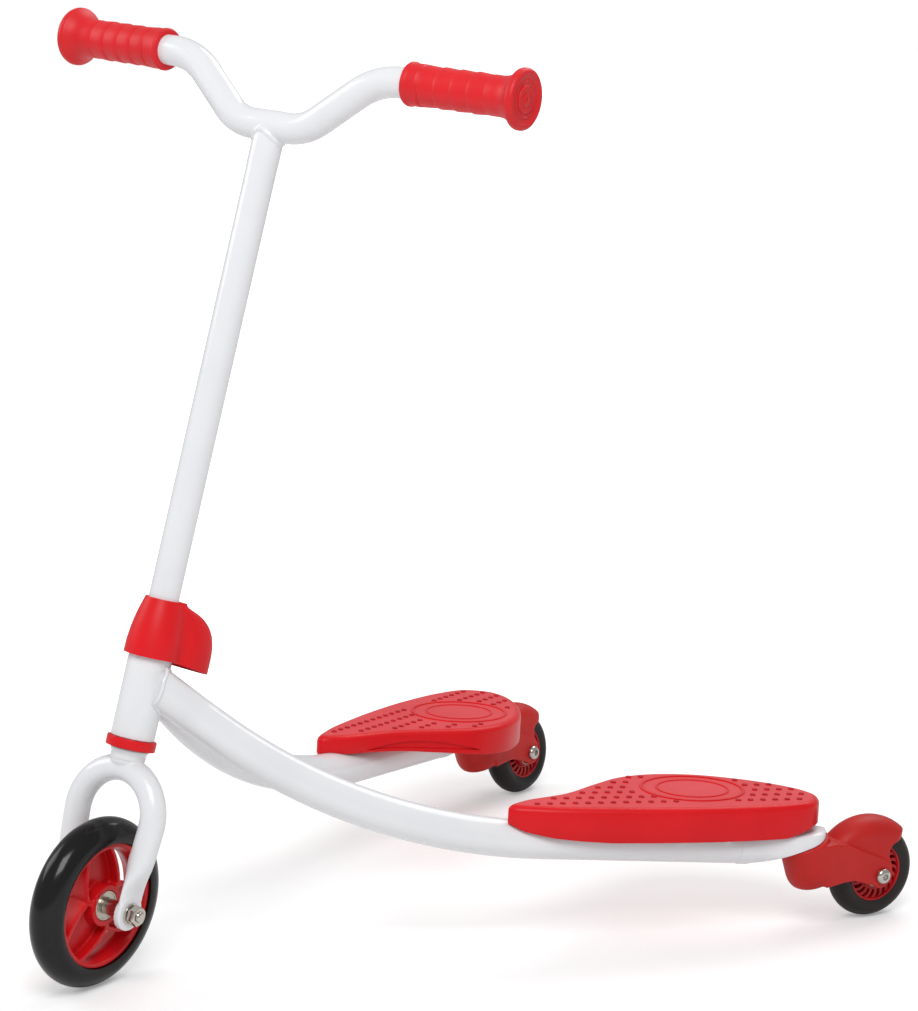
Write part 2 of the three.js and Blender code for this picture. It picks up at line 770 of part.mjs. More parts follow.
// Height, front radius, reach and half width, each as a share of the cover's own sizes.
const coverShares = [
  [0, 1, 1, 1],
  [0.28, 0.985, 0.99, 1],
  [0.56, 0.9, 0.91, 0.93],
  [0.8, 0.78, 0.67, 0.76],
];

function coverSkin(shrink, bottomDrop, roofDrop) {
  const height = coverTop - coverBottom;
  const rings = coverShares.map(([up, front, reach, width], i) => {
    const level = coverBottom + up * height;
    const slope = i ? 0 : coverRearDrop / coverLobeReach;
    const drop = i ? 0 : bottomDrop;
    const heightAt = (x) => level - drop - slope * Math.max(0, x);
    return coverRing(
      front * coverFrontRadius - shrink,
      reach * coverLobeReach - shrink,
      width * coverLobeHalfWidth - shrink,
      heightAt,
    );
  });
  const lip = coverLipRadius - shrink;
  const shoulder = coverTop - coverRoof - roofDrop;
  const tops = shrink ? [shoulder] : [shoulder, coverTop];
  rings.push(...tops.map((top) => coverRing(lip, lip, lip, () => top)));
  return solidOf(loft(rings));
}

function headCover() {
  const stemHole = rod(barRadius + fit, coverBottom, coverTop + overrun, ringSides);
  return cut(coverSkin(0, 0, 0), coverSkin(coverWall, overrun, coverRoof / 2), stemHole);
}

// Frame legs

const axisPoint = (height) => {
  const lean = radians(steeringLean);
  return point(height * Math.sin(lean), 0, frontTyreRadius + height * Math.cos(lean));
};

function legPath(side) {
  const start = axisPoint(legJointHeight);
  start.y = side * (legRadius * legSwageShare + fit / 2);
  const corners = [
    start,
    point(legBendReach, side * (legRadius + fit), start.z - legBendDrop),
    point(legSpreadReach, side * legSpreadHalfWidth, legSpreadHeight),
    point(legEndReach, side * legEndHalfWidth, legEndHeight),
  ];
  return bentPath(corners, [legHeadBend, legLongBend]);
}

function legTube(side, grow, sides, extra = 0) {
  const path = extra ? lengthened(legPath(side), extra) : legPath(side);
  const [start, end] = [path[0].x, legBendReach];
  return sweep(path, upward, sides, (centre) => {
    const swage = mix(legSwageShare, 1, THREE.MathUtils.clamp((centre.x - start) / (end - start), 0, 1));
    return [legRadius * swage + grow, legRadius + grow];
  });
}

function leg(side, headMatrix) {
  const outer = solidOf(legTube(side, 0, tubeSides));
  const bore = solidOf(legTube(side, -legWall, boreSides, overrun));
  const cope = aroundZ(discProfile(headTubeRadius + fit, 0, steererTop), ringSides);
  const front = block(
    point(-cutterRoom, -cutterRoom, 0),
    point(legHeadGap, cutterRoom, steererTop),
  );
  return cut(outer, bore, solidOf(cope.applyMatrix4(headMatrix)), solidOf(front.applyMatrix4(headMatrix)));
}

// Caster mount: welded on the leg, it flattens into a round-ended pad over the swivel axis.
function casterMount(side, base) {
  const path = legPath(side);
  const legEnd = path.at(-1);
  const legWay = legEnd.clone().sub(path.at(-2)).normalize();
  const axisTop = point(0, 0, mountPlaneHeight).applyMatrix4(base.matrixWorld);
  const way = point(axisTop.x - legEnd.x, axisTop.y - legEnd.y, 0);
  const reach = way.length();
  way.normalize();
  const start = legEnd.clone().addScaledVector(legWay, fit);
  const rings = [ovalRing(start, legWay, upward, legRadius, legRadius, tubeSides)];
  const addRing = (distance, half, spread) => {
    const centre = legEnd.clone().addScaledVector(way, distance);
    const halfHeight = mix(legRadius, mountHalfHeight, spread);
    const power = mix(roundPower, mountPower, spread);
    rings.push(ovalRing(centre, way, upward, half, halfHeight, tubeSides, power));
  };
  for (const [along, width, spread] of mountNeckShares) {
    addRing(reach * along, mix(legRadius, mountRadius, width), spread);
  }
  for (const angle of mountEndAngles) {
    addRing(reach + mountRadius * Math.sin(radians(angle)), mountRadius * Math.cos(radians(angle)), 1);
  }
  const intoBase = base.matrixWorld.clone().invert();
  const above = block(
    point(-cutterRoom, -cutterRoom, mountPlaneHeight),
    point(cutterRoom, cutterRoom, mountPlaneHeight + cutterRoom),
  );
  const pad = solidOf(loft(rings).applyMatrix4(intoBase)).intersect(solidOf(above));
  const seatLow = upperBearingHeight + bearingWidth + fit;
  const seat = rod(mountSeatRadius, seatLow, mountPlaneHeight + overrun, ringSides);
  const top = mountPlaneHeight + mountHalfHeight;
  const spotface = rod(swivelHeadRadius + fit, top, top + mountRadius, tubeSides);
  const bore = rod(axleRadius + fit, 0, top + mountRadius, smallSides);
  return cut(joined(pad, seat), spotface, bore);
}

// Bolt round Z through the mount and both bearings, held by a nut below.
function swivelBolt() {
  const face = mountPlaneHeight + mountHalfHeight + fit;
  const profile = [
    [0, lowerBearingHeight - fit - swivelNutHeight],
    [axleRadius, lowerBearingHeight - fit - swivelNutHeight],
    [axleRadius, face],
    [swivelHeadRadius, face],
    [swivelHeadRadius, face + swivelHeadHeight],
    [0, face + swivelHeadHeight],
  ];
  return solidOf(aroundZ(profile, smallSides));
}

function swivelNut() {
  const top = lowerBearingHeight - fit;
  const low = top - swivelNutHeight;
  const bore = rod(axleRadius + fit, low - overrun, top + overrun, smallSides);
  return rod(nutCornerRadius, low, top, hexSides).subtract(bore);
}

// Caster yoke

// The arm's side outline about the axle, as shares of the trail: lower edge, and the ridge above it.
const armLowerShares = [[-1.05, -0.05], [-0.65, -0.02], [-0.48, -0.03], [-0.23, -0.11]];
const armRidgeShares = [[0.17, 0.16], [0.05, 0.24], [-0.31, 0.395], [-0.66, 0.515], [-1.05, 0.56]];
// Half of the arms from above: shares of the way from the swivel axis to the axle, and of the
// narrowing from the housing to the arms' own width.
const armPlanShares = [[-0.3, 0], [0, 0], [0.25, 0.35], [0.5, 0.8], [0.75, 1], [1.5, 1]];
// The fender's side outline about the axle, as shares of its outer radius.
const fenderShares = [[0.25, 0.1], [0.17, 0.28], [0.18, 0.42], [0.27, 0.52], [0.59, 0.54], [0.68, 0.75]];
const fenderFrontShares = [[0, 1.2], [-0.55, 1.1], [-0.86, 0.72], [-0.99, 0.58], [-1, 0.2], [-0.5, 0.1]];
// Half of the fender from above, as shares of its radius and half width: it starts narrow.
const fenderPlanShares = [[-1.1, 0.1], [-0.86, 0.5], [-0.65, 0.84], [-0.3, 0.96], [0.05, 1], [1, 1]];

// Half of the fender's section, and of the room for the wheel: shares of the radius and half width
const fenderCrownShares = [[0, 1], [0.68, 1], [0.82, 0.93], [0.93, 0.7], [0.985, 0.4], [1, 0.15]];
const wheelSpaceShares = [[0, 1], [0.8, 1], [1, 0.6]];

const axleLean = radians(casterTilt);
const axlePlace = point(casterTrail * Math.cos(axleLean), 0, -casterTrail * Math.sin(axleLean));

const scaled = (shares, size) => shares.map(([x, z]) => [x * size, z * size]);

// Round Y, from half a section given as shares of a radius and of a half width.
function mirroredDrum(shares, radius, halfWidth, sides) {
  const lower = shares.map(([out, wide]) => [out * radius, -wide * halfWidth]);
  const upper = lower.slice().reverse().map(([r, y]) => [r, -y]);
  return solidOf(aroundY([...lower, ...upper], sides));
}

// A block with both flanks shaped as seen from above, from half an outline of [x, y] points.
function planBlock(half, low, high) {
  const mirrored = half.slice().reverse().map(([x, y]) => [x, -y]);
  const shape = new THREE.Shape([...half, ...mirrored].map(([x, y]) => new THREE.Vector2(x, y)));
  const settings = { depth: high - low, bevelEnabled: false };
  return solidOf(new THREE.ExtrudeGeometry(shape, settings).translate(0, 0, low));
}

function yokeArms() {
  const boss = arc(0, 0, yokeBossRadius, yokeBossStart, yokeBossEnd, arcSteps);
  const outline = [...scaled(armLowerShares, casterTrail), ...boss, ...scaled(armRidgeShares, casterTrail)];
  const side = solidOf(sidePlate(outline, -yokeHousingRadius, yokeHousingRadius));
  const plan = armPlanShares.map(([along, narrowing]) =>
    [(along - 1) * casterTrail, mix(yokeHousingRadius, yokeOuterHalf, narrowing)]);
  return side.intersect(planBlock(plan, -casterTrail, casterTrail));
}

function fender() {
  const drum = mirroredDrum(fenderCrownShares, fenderRadius, fenderHalfWidth, fenderSides);
  const outline = scaled([...fenderShares, ...fenderFrontShares], fenderRadius);
  const side = solidOf(sidePlate(outline, -yokeOuterHalf, yokeOuterHalf));
  const plan = fenderPlanShares.map(([x, y]) => [x * fenderRadius, y * fenderHalfWidth]);
  const outer = drum.translate(-fenderForward, 0, -fenderDrop);
  return outer.intersect(side).intersect(planBlock(plan, 0, 2 * fenderRadius));
}

function yokeHousing() {
  const round = yokeBottomRound * yokeRoundShare;
  const profile = [
    [0, yokeHousingBottom],
    [yokeHousingRadius - yokeBottomRound, yokeHousingBottom],
    [yokeHousingRadius - round, yokeHousingBottom + round],
    [yokeHousingRadius, yokeHousingBottom + yokeBottomRound],
    [yokeHousingRadius, yokeHousingTop],
    [0, yokeHousingTop],
  ];
  return solidOf(aroundZ(profile, casterSides));
}

// Fork arms and mudguard in one moulding behind a round housing for the swivel bearings.
function yoke() {
  const level = new THREE.Matrix4().makeRotationY(axleLean).setPosition(axlePlace);
  const arms = yokeArms().transform(level.elements);
  const mudguard = fender().transform(level.elements);
  const space = mirroredDrum(wheelSpaceShares, yokeWheelSpaceRadius, yokeInnerHalf, casterSides);
  const pocket = bearingRadius + fit;
  const lower = rod(pocket, -overrun, lowerBearingHeight + bearingWidth + fit, ringSides);
  const upper = rod(pocket, upperBearingHeight - fit, yokeHousingTop + overrun, ringSides);
  const bore = rod(bearingRadius - bearingShoulder, 0, yokeHousingTop, tubeSides);
  const reach = yokeOuterHalf + overrun;
  const axleHole = rodAcross(axleRadius + fit, -reach, reach, smallSides).translate(...axlePlace);
  const body = joined(yokeHousing(), arms, mudguard);
  return cut(body, space.transform(level.elements), lower, upper, bore, axleHole);
}

// Caster wheel

const casterBossHalf = casterBossWidth / 2;
const casterBearingOuter = yokeInnerHalf - fit;
const casterBearingInner = casterBearingOuter - bearingWidth;

// Half of the tyre's crown: shares of its height and of its half width
const tyreCrownShares = [[0, 1], [0.45, 0.9], [0.8, 0.62], [1, 0.2]];

function casterTyre() {
  const half = casterTyreWidth / 2;
  const seat = casterHubRadius + fit;
  const shoulder = casterWheelRadius - casterTyreCrown;
  const side = tyreCrownShares.map(([out, wide]) => [shoulder + out * casterTyreCrown, wide * half]);
  const lower = side.map(([r, y]) => [r, -y]);
  const upper = side.slice().reverse();
  const edge = casterHubWidth / 2;
  return solidOf(aroundY([[seat, -edge], ...lower, ...upper, [seat, edge], [seat, -edge]], casterSides));
}

// A slot's two edges: shares of the way from its inner to its outer end, and of its width there
const slotLowerShares = [[0, 0.7], [0.6, 0.9], [1, 1]];
const slotUpperShares = [[1, 1], [0, 0.7]];

// One curved slot between two vanes of the hub, wider towards the rim.
function hubSlot() {
  const edge = (shares, side) => shares.map(([along, wide]) => {
    const radius = mix(casterSlotInner, casterSlotOuter, along);
    const angle = radians(casterSlotTwist * along * along);
    const offset = (side * wide * casterSlotWidth) / 2;
    return [radius * Math.cos(angle), radius * Math.sin(angle) + offset];
  });
  const outline = [...edge(slotLowerShares, -1), ...edge(slotUpperShares, 1)];
  return sidePlate(outline, -casterHubWidth, casterHubWidth);
}

function casterHub() {
  const half = casterHubWidth / 2;
  const profile = [
    [0, -casterBossHalf],
    [casterBossRadius, -casterBossHalf],
    [casterBossRadius + fit, -half * vaneDepthShare],
    [casterSlotOuter + fit, -half * vaneDepthShare],
    [casterHubRadius, -half],
  ];
  const mirrored = profile.slice().reverse().map(([r, y]) => [r, -y]);
  let hub = solidOf(aroundY([...profile, ...mirrored], casterSides));
  for (let i = 0; i < casterSlotCount; i++) {
    hub = hub.subtract(solidOf(hubSlot().rotateY((2 * Math.PI * i) / casterSlotCount)));
  }
  const pocket = bearingRadius + fit;
  const inner = casterBearingInner - fit;
  const pockets = [[inner, casterBearingOuter + overrun], [-casterBearingOuter - overrun, -inner]];
  const bore = rodAcross(bearingRadius - bearingShoulder, -inner - fit, inner + fit, tubeSides);
  return cut(hub, bore, ...pockets.map(([low, high]) => rodAcross(pocket, low, high, ringSides)));
}

// Domed head of the caster's axle, on the rider's right, or of its barrel nut on the left.
function domedHead(side, face, coreRadius, coreEnd) {
  const outer = face + boltHeadHeight;
  const [domeOut, domeDown] = boltDomeShares;
  const profile = [
    [0, coreEnd],
    [coreRadius, coreEnd],
    [coreRadius, face],
    [boltHeadRadius, face],
    [boltHeadRadius, outer - boltHeadDome],
    [boltHeadRadius * domeOut, outer - boltHeadDome * domeDown],
    [0, outer],
  ];
  return solidOf(aroundY(profile.map(([r, y]) => [r, side * y]), smallSides));
}

function casterPieces(name, caster, wheel) {
  addPiece(caster, `${name}_yoke`, yoke(), casterPlastic);
  for (const [level, low] of [["lower", lowerBearingHeight], ["upper", upperBearingHeight]]) {
    const ring = sleeve(bearingBoreRadius, bearingRadius, low, low + bearingWidth, bearingSides);
    addPiece(caster, `${name}_${level}_swivel_bearing`, ring, steel);
  }
  const axle = addGroup(caster, axlePlace);
  const face = yokeOuterHalf + fit;
  const bolt = domedHead(1, face, axleRadius, -casterBearingOuter);
  const tip = rodAcross(barrelBoreRadius - fit, -face, casterBearingOuter, smallSides);
  addPiece(axle, `${name}_axle_bolt`, bolt.add(tip), zinc);
  const nut = domedHead(-1, face, axleRadius, casterBearingOuter + fit);
  const blindEnd = -face - boltHeadHeight / 2;
  const bore = rodAcross(barrelBoreRadius, blindEnd, overrun - casterBearingOuter, smallSides);
  addPiece(axle, `${name}_axle_nut`, nut.subtract(bore), zinc);
  addPiece(wheel, `${name}_caster_tyre`, casterTyre(), blackTyre);
  addPiece(wheel, `${name}_caster_hub`, casterHub(), hubPlastic);
  for (const [side, place] of [[-1, "outer"], [1, "inner"]]) {
    const ends = ordered(side * casterBearingInner, side * casterBearingOuter);
    const ring = sleeveAcross(bearingBoreRadius, bearingRadius, ...ends, bearingSides);
    addPiece(wheel, `${name}_${place}_wheel_bearing`, ring, steel);
  }
}

// Decks

// The deck's outline from the nose, as shares of its length, and of its width from the inner edge.
const deckOutlineShares = [
  [0, 0.26], [0.085, 0.41], [0.26, 0.6], [0.43, 0.755], [0.6, 0.885], [0.805, 0.995], [0.92, 1],
  [0.99, 0.88], [1, 0.74], [0.97, 0.55], [0.9, 0.33], [0.805, 0.145], [0.69, 0.03], [0.56, 0],
  [0.435, 0.06], [0.26, 0.165], [0.08, 0.19],
];
const ringPlaceShares = [0.662, 0.463]; // of the raised ring's centre
// Shares of the length from the nose, and of the side's full height there
const sideHeightShares = [
  [0, 0.54], [0.035, 0.73], [0.108, 0.885], [0.186, 0.96], [0.264, 1], [0.814, 1], [0.92, 0.75], [1, 0.7],
];
const deckEdgeShares = [0.3, 0.28]; // of the edge's inset and drop, at the middle of its rounding

function deckOutline(side) {
  const points = deckOutlineShares.map(([along, across]) => point(
    (along - ringPlaceShares[0]) * deckLength,
    side * (across - ringPlaceShares[1]) * deckWidth,
    0,
  ));
  const curve = new THREE.CatmullRomCurve3(points, true, "centripetal");
  return curve.getSpacedPoints(deckPoints).slice(0, deckPoints);
}

function sideHeight(x) {
  const share = THREE.MathUtils.clamp(x / deckLength + ringPlaceShares[0], 0, 1);
  const after = Math.max(1, sideHeightShares.findIndex(([along]) => along >= share));
  const [[x0, h0], [x1, h1]] = sideHeightShares.slice(after - 1, after + 1);
  return deckSide * mix(h0, h1, (share - x0) / (x1 - x0));
}

// The outline drawn in by an inset, at a height that may follow the place along the deck.
function deckRing(outline, side, inset, heightAt) {
  return outline.map((place, i) => {
    const before = outline.at(i - 1);
    const after = outline[(i + 1) % outline.length];
    const way = after.clone().sub(before).normalize();
    const x = place.x + side * way.y * inset;
    const y = place.y - side * way.x * inset;
    return point(x, y, heightAt(x));
  });
}

function screwPlaces(side) {
  const path = legPath(side);
  const way = path.at(-1).clone().sub(path.at(-2)).normalize();
  const middle = path.at(-1).clone().addScaledVector(way, (bracketReach - path.at(-1).x) / way.x);
  const across = upward.clone().cross(way).normalize();
  return { middle, way, across };
}

// The shallow recess in the side that faces the other deck.
function sideRecess(side, body, ring) {
  const bow = (height) => Array.from({ length: bendSteps * 2 }, (_, k) => {
    const share = k / (bendSteps * 2);
    return [mix(-1, 1, share) * Math.sign(height) * recessLength / 2, height * Math.sin(Math.PI * share)];
  });
  const lens = [...bow(recessArch), ...bow(-recessSag)];
  const reach = ordered(0, -side * deckWidth);
  const prism = sidePlate(lens, ...reach).translate(-recessForward, 0, -recessLevel);
  const core = solidOf(loft([
    ring(recessDepth, () => 0),
    ring(recessDepth, () => -deckSide),
  ]));
  return cut(solidOf(prism).intersect(body), core);
}

function deck(side, deckMatrix, base) {
  const outline = deckOutline(side);
  const ring = (inset, heightAt) => deckRing(outline, side, inset, heightAt);
  const [edgeIn, edgeDown] = deckEdgeShares;
  const body = solidOf(loft([
    ring(deckEdgeInset, () => 0),
    ring(deckEdgeInset * edgeIn, () => -deckEdgeDrop * edgeDown),
    ring(0, () => -deckEdgeDrop),
    ring(0, (x) => -sideHeight(x)),
  ]));
  const cavity = solidOf(loft([
    ring(deckWall + deckEdgeInset * edgeIn, () => -deckTopThickness),
    ring(deckWall, () => -deckSide - overrun),
  ]));
  const intoDeck = deckMatrix.clone().invert();
  const tube = solidOf(legTube(side, fit, tubeSides).applyMatrix4(intoDeck));
  const raised = aroundZ(
    ringProfile(deckRingRadius - deckRingWidth, deckRingRadius, -deckRingHeight, deckRingHeight),
    casterSides,
  );
  raised.scale(1, deckRingSquashShare, 1);
  const { middle, across } = screwPlaces(side);
  const bracketTop = bracketLevel(side, intoDeck) + bracketThickness;
  let shell = joined(cut(body, cavity, bracketPlate(side, intoDeck, fit)), solidOf(raised));
  const holes = [];
  for (const end of [-1, 1]) {
    const place = middle.clone().addScaledVector(across, end * screwOffset).applyMatrix4(intoDeck);
    const boss = rod(screwBossRadius, bracketTop + fit, fit - deckTopThickness, smallSides);
    const hole = rod(screwRadius + fit, -deckSide, bracketTop + screwLength, smallSides);
    shell = shell.add(boss.translate(place.x, place.y, 0));
    holes.push(hole.translate(place.x, place.y, 0));
  }
  const boltTop = mountPlaneHeight + mountHalfHeight + fit;
  const boltRoom = rod(swivelHeadRadius + fit, boltTop, boltTop + swivelHeadHeight + fit, smallSides);
  const room = boltRoom.transform(intoDeck.clone().multiply(base.matrixWorld).elements);
  return cut(shell, sideRecess(side, body, ring), tube, room, ...holes);
}

// Height of the bracket's underside in the deck's own frame: on top of the leg.
function bracketLevel(side, intoDeck) {
  const top = screwPlaces(side).middle.clone();
  top.z += legRadius + fit;
  return top.applyMatrix4(intoDeck).z;
}

// A block turned along the leg and moved over the bracket's middle.
function alongLeg(side, intoDeck, geometry) {
  const { middle, way } = screwPlaces(side);
  const place = middle.applyMatrix4(intoDeck);
  return solidOf(geometry.rotateZ(Math.atan2(way.y, way.x)).translate(place.x, place.y, 0));
}

function bracketPlate(side, intoDeck, grow) {
  const low = bracketLevel(side, intoDeck);
  const [along, wide] = [bracketLength / 2 + grow, bracketHalfWidth + grow];
  const plate = block(point(-along, -wide, low - grow), point(along, wide, low + bracketThickness + grow));
  return alongLeg(side, intoDeck, plate);
}

function deckBracket(side, deckMatrix) {
  const intoDeck = deckMatrix.clone().invert();
  const { middle, across } = screwPlaces(side);
  const low = bracketLevel(side, intoDeck);
  const half = bracketLength / 2;
  const flanges = [-half, half - bracketThickness].map((start) => block(
    point(start, -bracketFlangeHalfWidth, low - bracketFlangeDepth),
    point(start + bracketThickness, bracketFlangeHalfWidth, low + fit),
  ));
  const ends = flanges.map((flange) => alongLeg(side, intoDeck, flange));
  const tube = solidOf(legTube(side, fit, tubeSides).applyMatrix4(intoDeck));
  const holes = [-1, 1].map((end) => {
    const at = middle.clone().addScaledVector(across, end * screwOffset).applyMatrix4(intoDeck);
    const top = low + bracketThickness + overrun;
    return rod(screwRadius + fit, low - overrun, top, smallSides).translate(at.x, at.y, 0);
  });
  return cut(joined(bracketPlate(side, intoDeck, 0), ...ends), tube, ...holes);
}

function deckScrew(level) {
  const profile = [
    [0, level - screwHeadHeight],
    [screwHeadRadius * screwSinkShare, level - screwHeadHeight],
    [screwHeadRadius, level],
    [screwRadius, level],
    [screwRadius, level + screwLength],
    [0, level + screwLength],
  ];
  return solidOf(aroundZ(profile, smallSides));
}

function deckPieces(name, side, holder, base) {
  addPiece(holder, `${name}_deck`, deck(side, holder.matrixWorld, base), redPlastic);
  addPiece(holder, `${name}_deck_bracket`, deckBracket(side, holder.matrixWorld), whitePaint);
  const intoDeck = holder.matrixWorld.clone().invert();
  const { middle, across } = screwPlaces(side);
  const level = bracketLevel(side, intoDeck) - fit;
  for (const [end, place] of [[-1, "inner"], [1, "outer"]]) {
    const at = middle.clone().addScaledVector(across, end * side * screwOffset).applyMatrix4(intoDeck);
    addPiece(holder, `${name}_${place}_deck_screw`, deckScrew(level).translate(at.x, at.y, 0), zinc);
  }
}

// Assembly

const scooter = new THREE.Group();
const frame = addGroup(scooter);
const head = addGroup(frame, point(0, 0, frontTyreRadius), "y", steeringLean);
const steering = addGroup(head, null, "z", steeringAtRest);
const frontWheel = addGroup(steering);
scooter.updateMatrixWorld(true);

headsetPieces(head);
addPiece(steering, "fork", fork(), whitePaint);
frontAxlePieces(steering);
frontWheelPieces(frontWheel);
handlebarPieces(steering);
addPiece(steering, "clamp_collar", clampCollar(), steel);
addPiece(steering, "clamp_bolt", clampBolt(), zinc);
addPiece(steering, "head_cover", headCover(), redPlastic);

const sides = [["left", -1, leftSwivelAtRest], ["right", 1, rightSwivelAtRest]];
for (const [name, side, swivelAtRest] of sides) {
  const axis = point(casterAxisReach, side * casterAxisHalfWidth, casterWheelRadius);
  const base = addGroup(frame, axis, "y", -casterTilt);
  const holder = addGroup(frame, point(deckReach, side * deckHalfWidth, deckHeight), "y", deckTilt);
  const caster = addGroup(base, null, "z", swivelAtRest);
  const wheel = addGroup(caster, axlePlace);
  scooter.updateMatrixWorld(true);
  addPiece(frame, `${name}_leg`, leg(side, head.matrixWorld), whitePaint);
  deckPieces(name, side, holder, base);
  addPiece(base, `${name}_caster_mount`, casterMount(side, base), whitePaint);
  addPiece(base, `${name}_swivel_bolt`, swivelBolt(), zinc);
  addPiece(base, `${name}_swivel_nut`, swivelNut(), zinc);
  casterPieces(name, caster, wheel);
}

// The part's own origin lies on the ground under the middle of its box.
const box = new THREE.Box3().setFromObject(scooter, true);
const middle = box.getCenter(new THREE.Vector3());
frame.position.set(-middle.x, -middle.y, -box.min.z);

export default scooter;
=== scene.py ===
import json
import math

import bpy
from mathutils import Matrix, Vector


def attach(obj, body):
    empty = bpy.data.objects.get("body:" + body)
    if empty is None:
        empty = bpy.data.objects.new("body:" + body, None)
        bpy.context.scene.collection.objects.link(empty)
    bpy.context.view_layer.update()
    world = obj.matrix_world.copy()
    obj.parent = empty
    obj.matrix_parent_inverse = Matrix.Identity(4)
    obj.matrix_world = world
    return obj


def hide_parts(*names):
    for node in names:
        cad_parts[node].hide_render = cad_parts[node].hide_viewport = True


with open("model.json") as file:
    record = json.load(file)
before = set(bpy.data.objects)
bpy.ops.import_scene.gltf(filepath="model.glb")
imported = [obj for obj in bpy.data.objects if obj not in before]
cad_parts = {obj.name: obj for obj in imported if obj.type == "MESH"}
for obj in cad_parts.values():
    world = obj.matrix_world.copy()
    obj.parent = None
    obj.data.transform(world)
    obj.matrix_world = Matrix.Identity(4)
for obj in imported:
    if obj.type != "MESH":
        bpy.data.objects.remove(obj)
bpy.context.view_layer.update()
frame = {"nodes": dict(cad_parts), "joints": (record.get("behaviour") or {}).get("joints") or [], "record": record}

# Studio. A pale floor, one large soft lamp over the rider's left, a weaker one on the right and
# an even white surround, with the camera where the picture was taken from.
mm = 0.001
joints = {joint["name"]: joint for joint in frame["joints"]}
front_axle = Vector(joints["steer"]["pos_m"])
front_tyre_radius = 62.5 * mm
ground = Matrix.Translation(front_axle - Vector((0, 0, front_tyre_radius)))

camera_place = Vector((-1033.08, -1799.90, 728.12)) * mm
camera_azimuth = math.radians(-37.05)
camera_elevation = math.radians(10.40)
focal_px = 3003.59
picture_height_px = 1011
bpy.ops.object.camera_add(
    location=ground @ camera_place,
    rotation=(math.radians(90) - camera_elevation, 0, camera_azimuth),
)
camera = bpy.context.object
camera.data.sensor_width = 36
camera.data.lens = focal_px / picture_height_px * camera.data.sensor_width
bpy.context.scene.camera = camera
bpy.context.scene.view_settings.view_transform = "Standard"

bpy.ops.mesh.primitive_plane_add(size=30, location=(0, 0, 0))
floor = bpy.context.object
floor.name = "studio_floor"
floor_finish = bpy.data.materials.new("studio_floor")
floor_finish.use_nodes = True
tree = floor_finish.node_tree
floor_shader = tree.nodes["Principled BSDF"]
floor_shader.inputs["Base Color"].default_value = (0.86, 0.86, 0.86, 1)
floor_shader.inputs["Roughness"].default_value = 0.7
seen = tree.nodes.new("ShaderNodeLightPath")
lift = tree.nodes.new("ShaderNodeEmission")
lift.inputs["Color"].default_value = (1, 1, 1, 1)
floor_place = tree.nodes.new("ShaderNodeTexCoord")
distance = tree.nodes.new("ShaderNodeVectorMath")
distance.operation = "LENGTH"
fade = tree.nodes.new("ShaderNodeMapRange")
fade.inputs["From Min"].default_value = 0.45
fade.inputs["From Max"].default_value = 1.1
fade.inputs["To Min"].default_value = 0.24
fade.inputs["To Max"].default_value = 1.0
tree.links.new(floor_place.outputs["Object"], distance.inputs[0])
tree.links.new(distance.outputs["Value"], fade.inputs["Value"])
shown_lift = tree.nodes.new("ShaderNodeMath")
shown_lift.operation = "MULTIPLY"
tree.links.new(fade.outputs[0], shown_lift.inputs[1])
total = tree.nodes.new("ShaderNodeAddShader")
tree.links.new(seen.outputs["Is Camera Ray"], shown_lift.inputs[0])
tree.links.new(shown_lift.outputs[0], lift.inputs["Strength"])
tree.links.new(floor_shader.outputs[0], total.inputs[0])
tree.links.new(lift.outputs[0], total.inputs[1])
tree.links.new(total.outputs[0], tree.nodes["Material Output"].inputs["Surface"])
floor.data.materials.append(floor_finish)

surround = bpy.data.worlds.new("studio_surround")
surround.use_nodes = True
bpy.context.scene.world = surround
tree = surround.node_tree
even = tree.nodes["Background"]
even.inputs["Color"].default_value = (1, 1, 1, 1)
even.inputs["Strength"].default_value = 0.42
backdrop = tree.nodes.new("ShaderNodeBackground")
backdrop.inputs["Color"].default_value = (1, 1, 1, 1)
backdrop.inputs["Strength"].default_value = 1.0
seen = tree.nodes.new("ShaderNodeLightPath")
choice = tree.nodes.new("ShaderNodeMixShader")
tree.links.new(seen.outputs["Is Camera Ray"], choice.inputs["Fac"])
tree.links.new(even.outputs[0], choice.inputs[1])
tree.links.new(backdrop.outputs[0], choice.inputs[2])
tree.links.new(choice.outputs[0], tree.nodes["World Output"].inputs["Surface"])


def soft_lamp(name, place, aim, size, watts):
    """A square area lamp at a place, turned towards what it lights."""
    bpy.ops.object.light_add(type="AREA", location=place)
    lamp = bpy.context.object
    lamp.name = name
    lamp.data.size = size
    lamp.data.energy = watts
    lamp.rotation_euler = (Vector(place) - Vector(aim)).to_track_quat("Z", "Y").to_euler()


soft_lamp("lamp_over_left", (-1.2, -1.6, 2.2), (0, 0, 0.3), 1.3, 44)
soft_lamp("lamp_right", (-1.4, 1.5, 1.5), (0, 0, 0.3), 1.2, 14)
soft_lamp("lamp_behind", (1.6, 0.4, 2.0), (0, 0, 0.3), 1.4, 18)

# Head tube and its lower cup. A white painted steel tube leans back over the front wheel, and a
# red moulded cup with a rounded rim closes the steering bearing below it.


def axes_at(origin, up, side):
    """A local frame at a point, with z along up and y along side."""
    z = Vector(up).normalized()
    y = Vector(side)
    y = (y - z * y.dot(z)).normalized()
    turn = Matrix((y.cross(z), y, z)).transposed().to_4x4()
    return Matrix.Translation(origin) @ turn


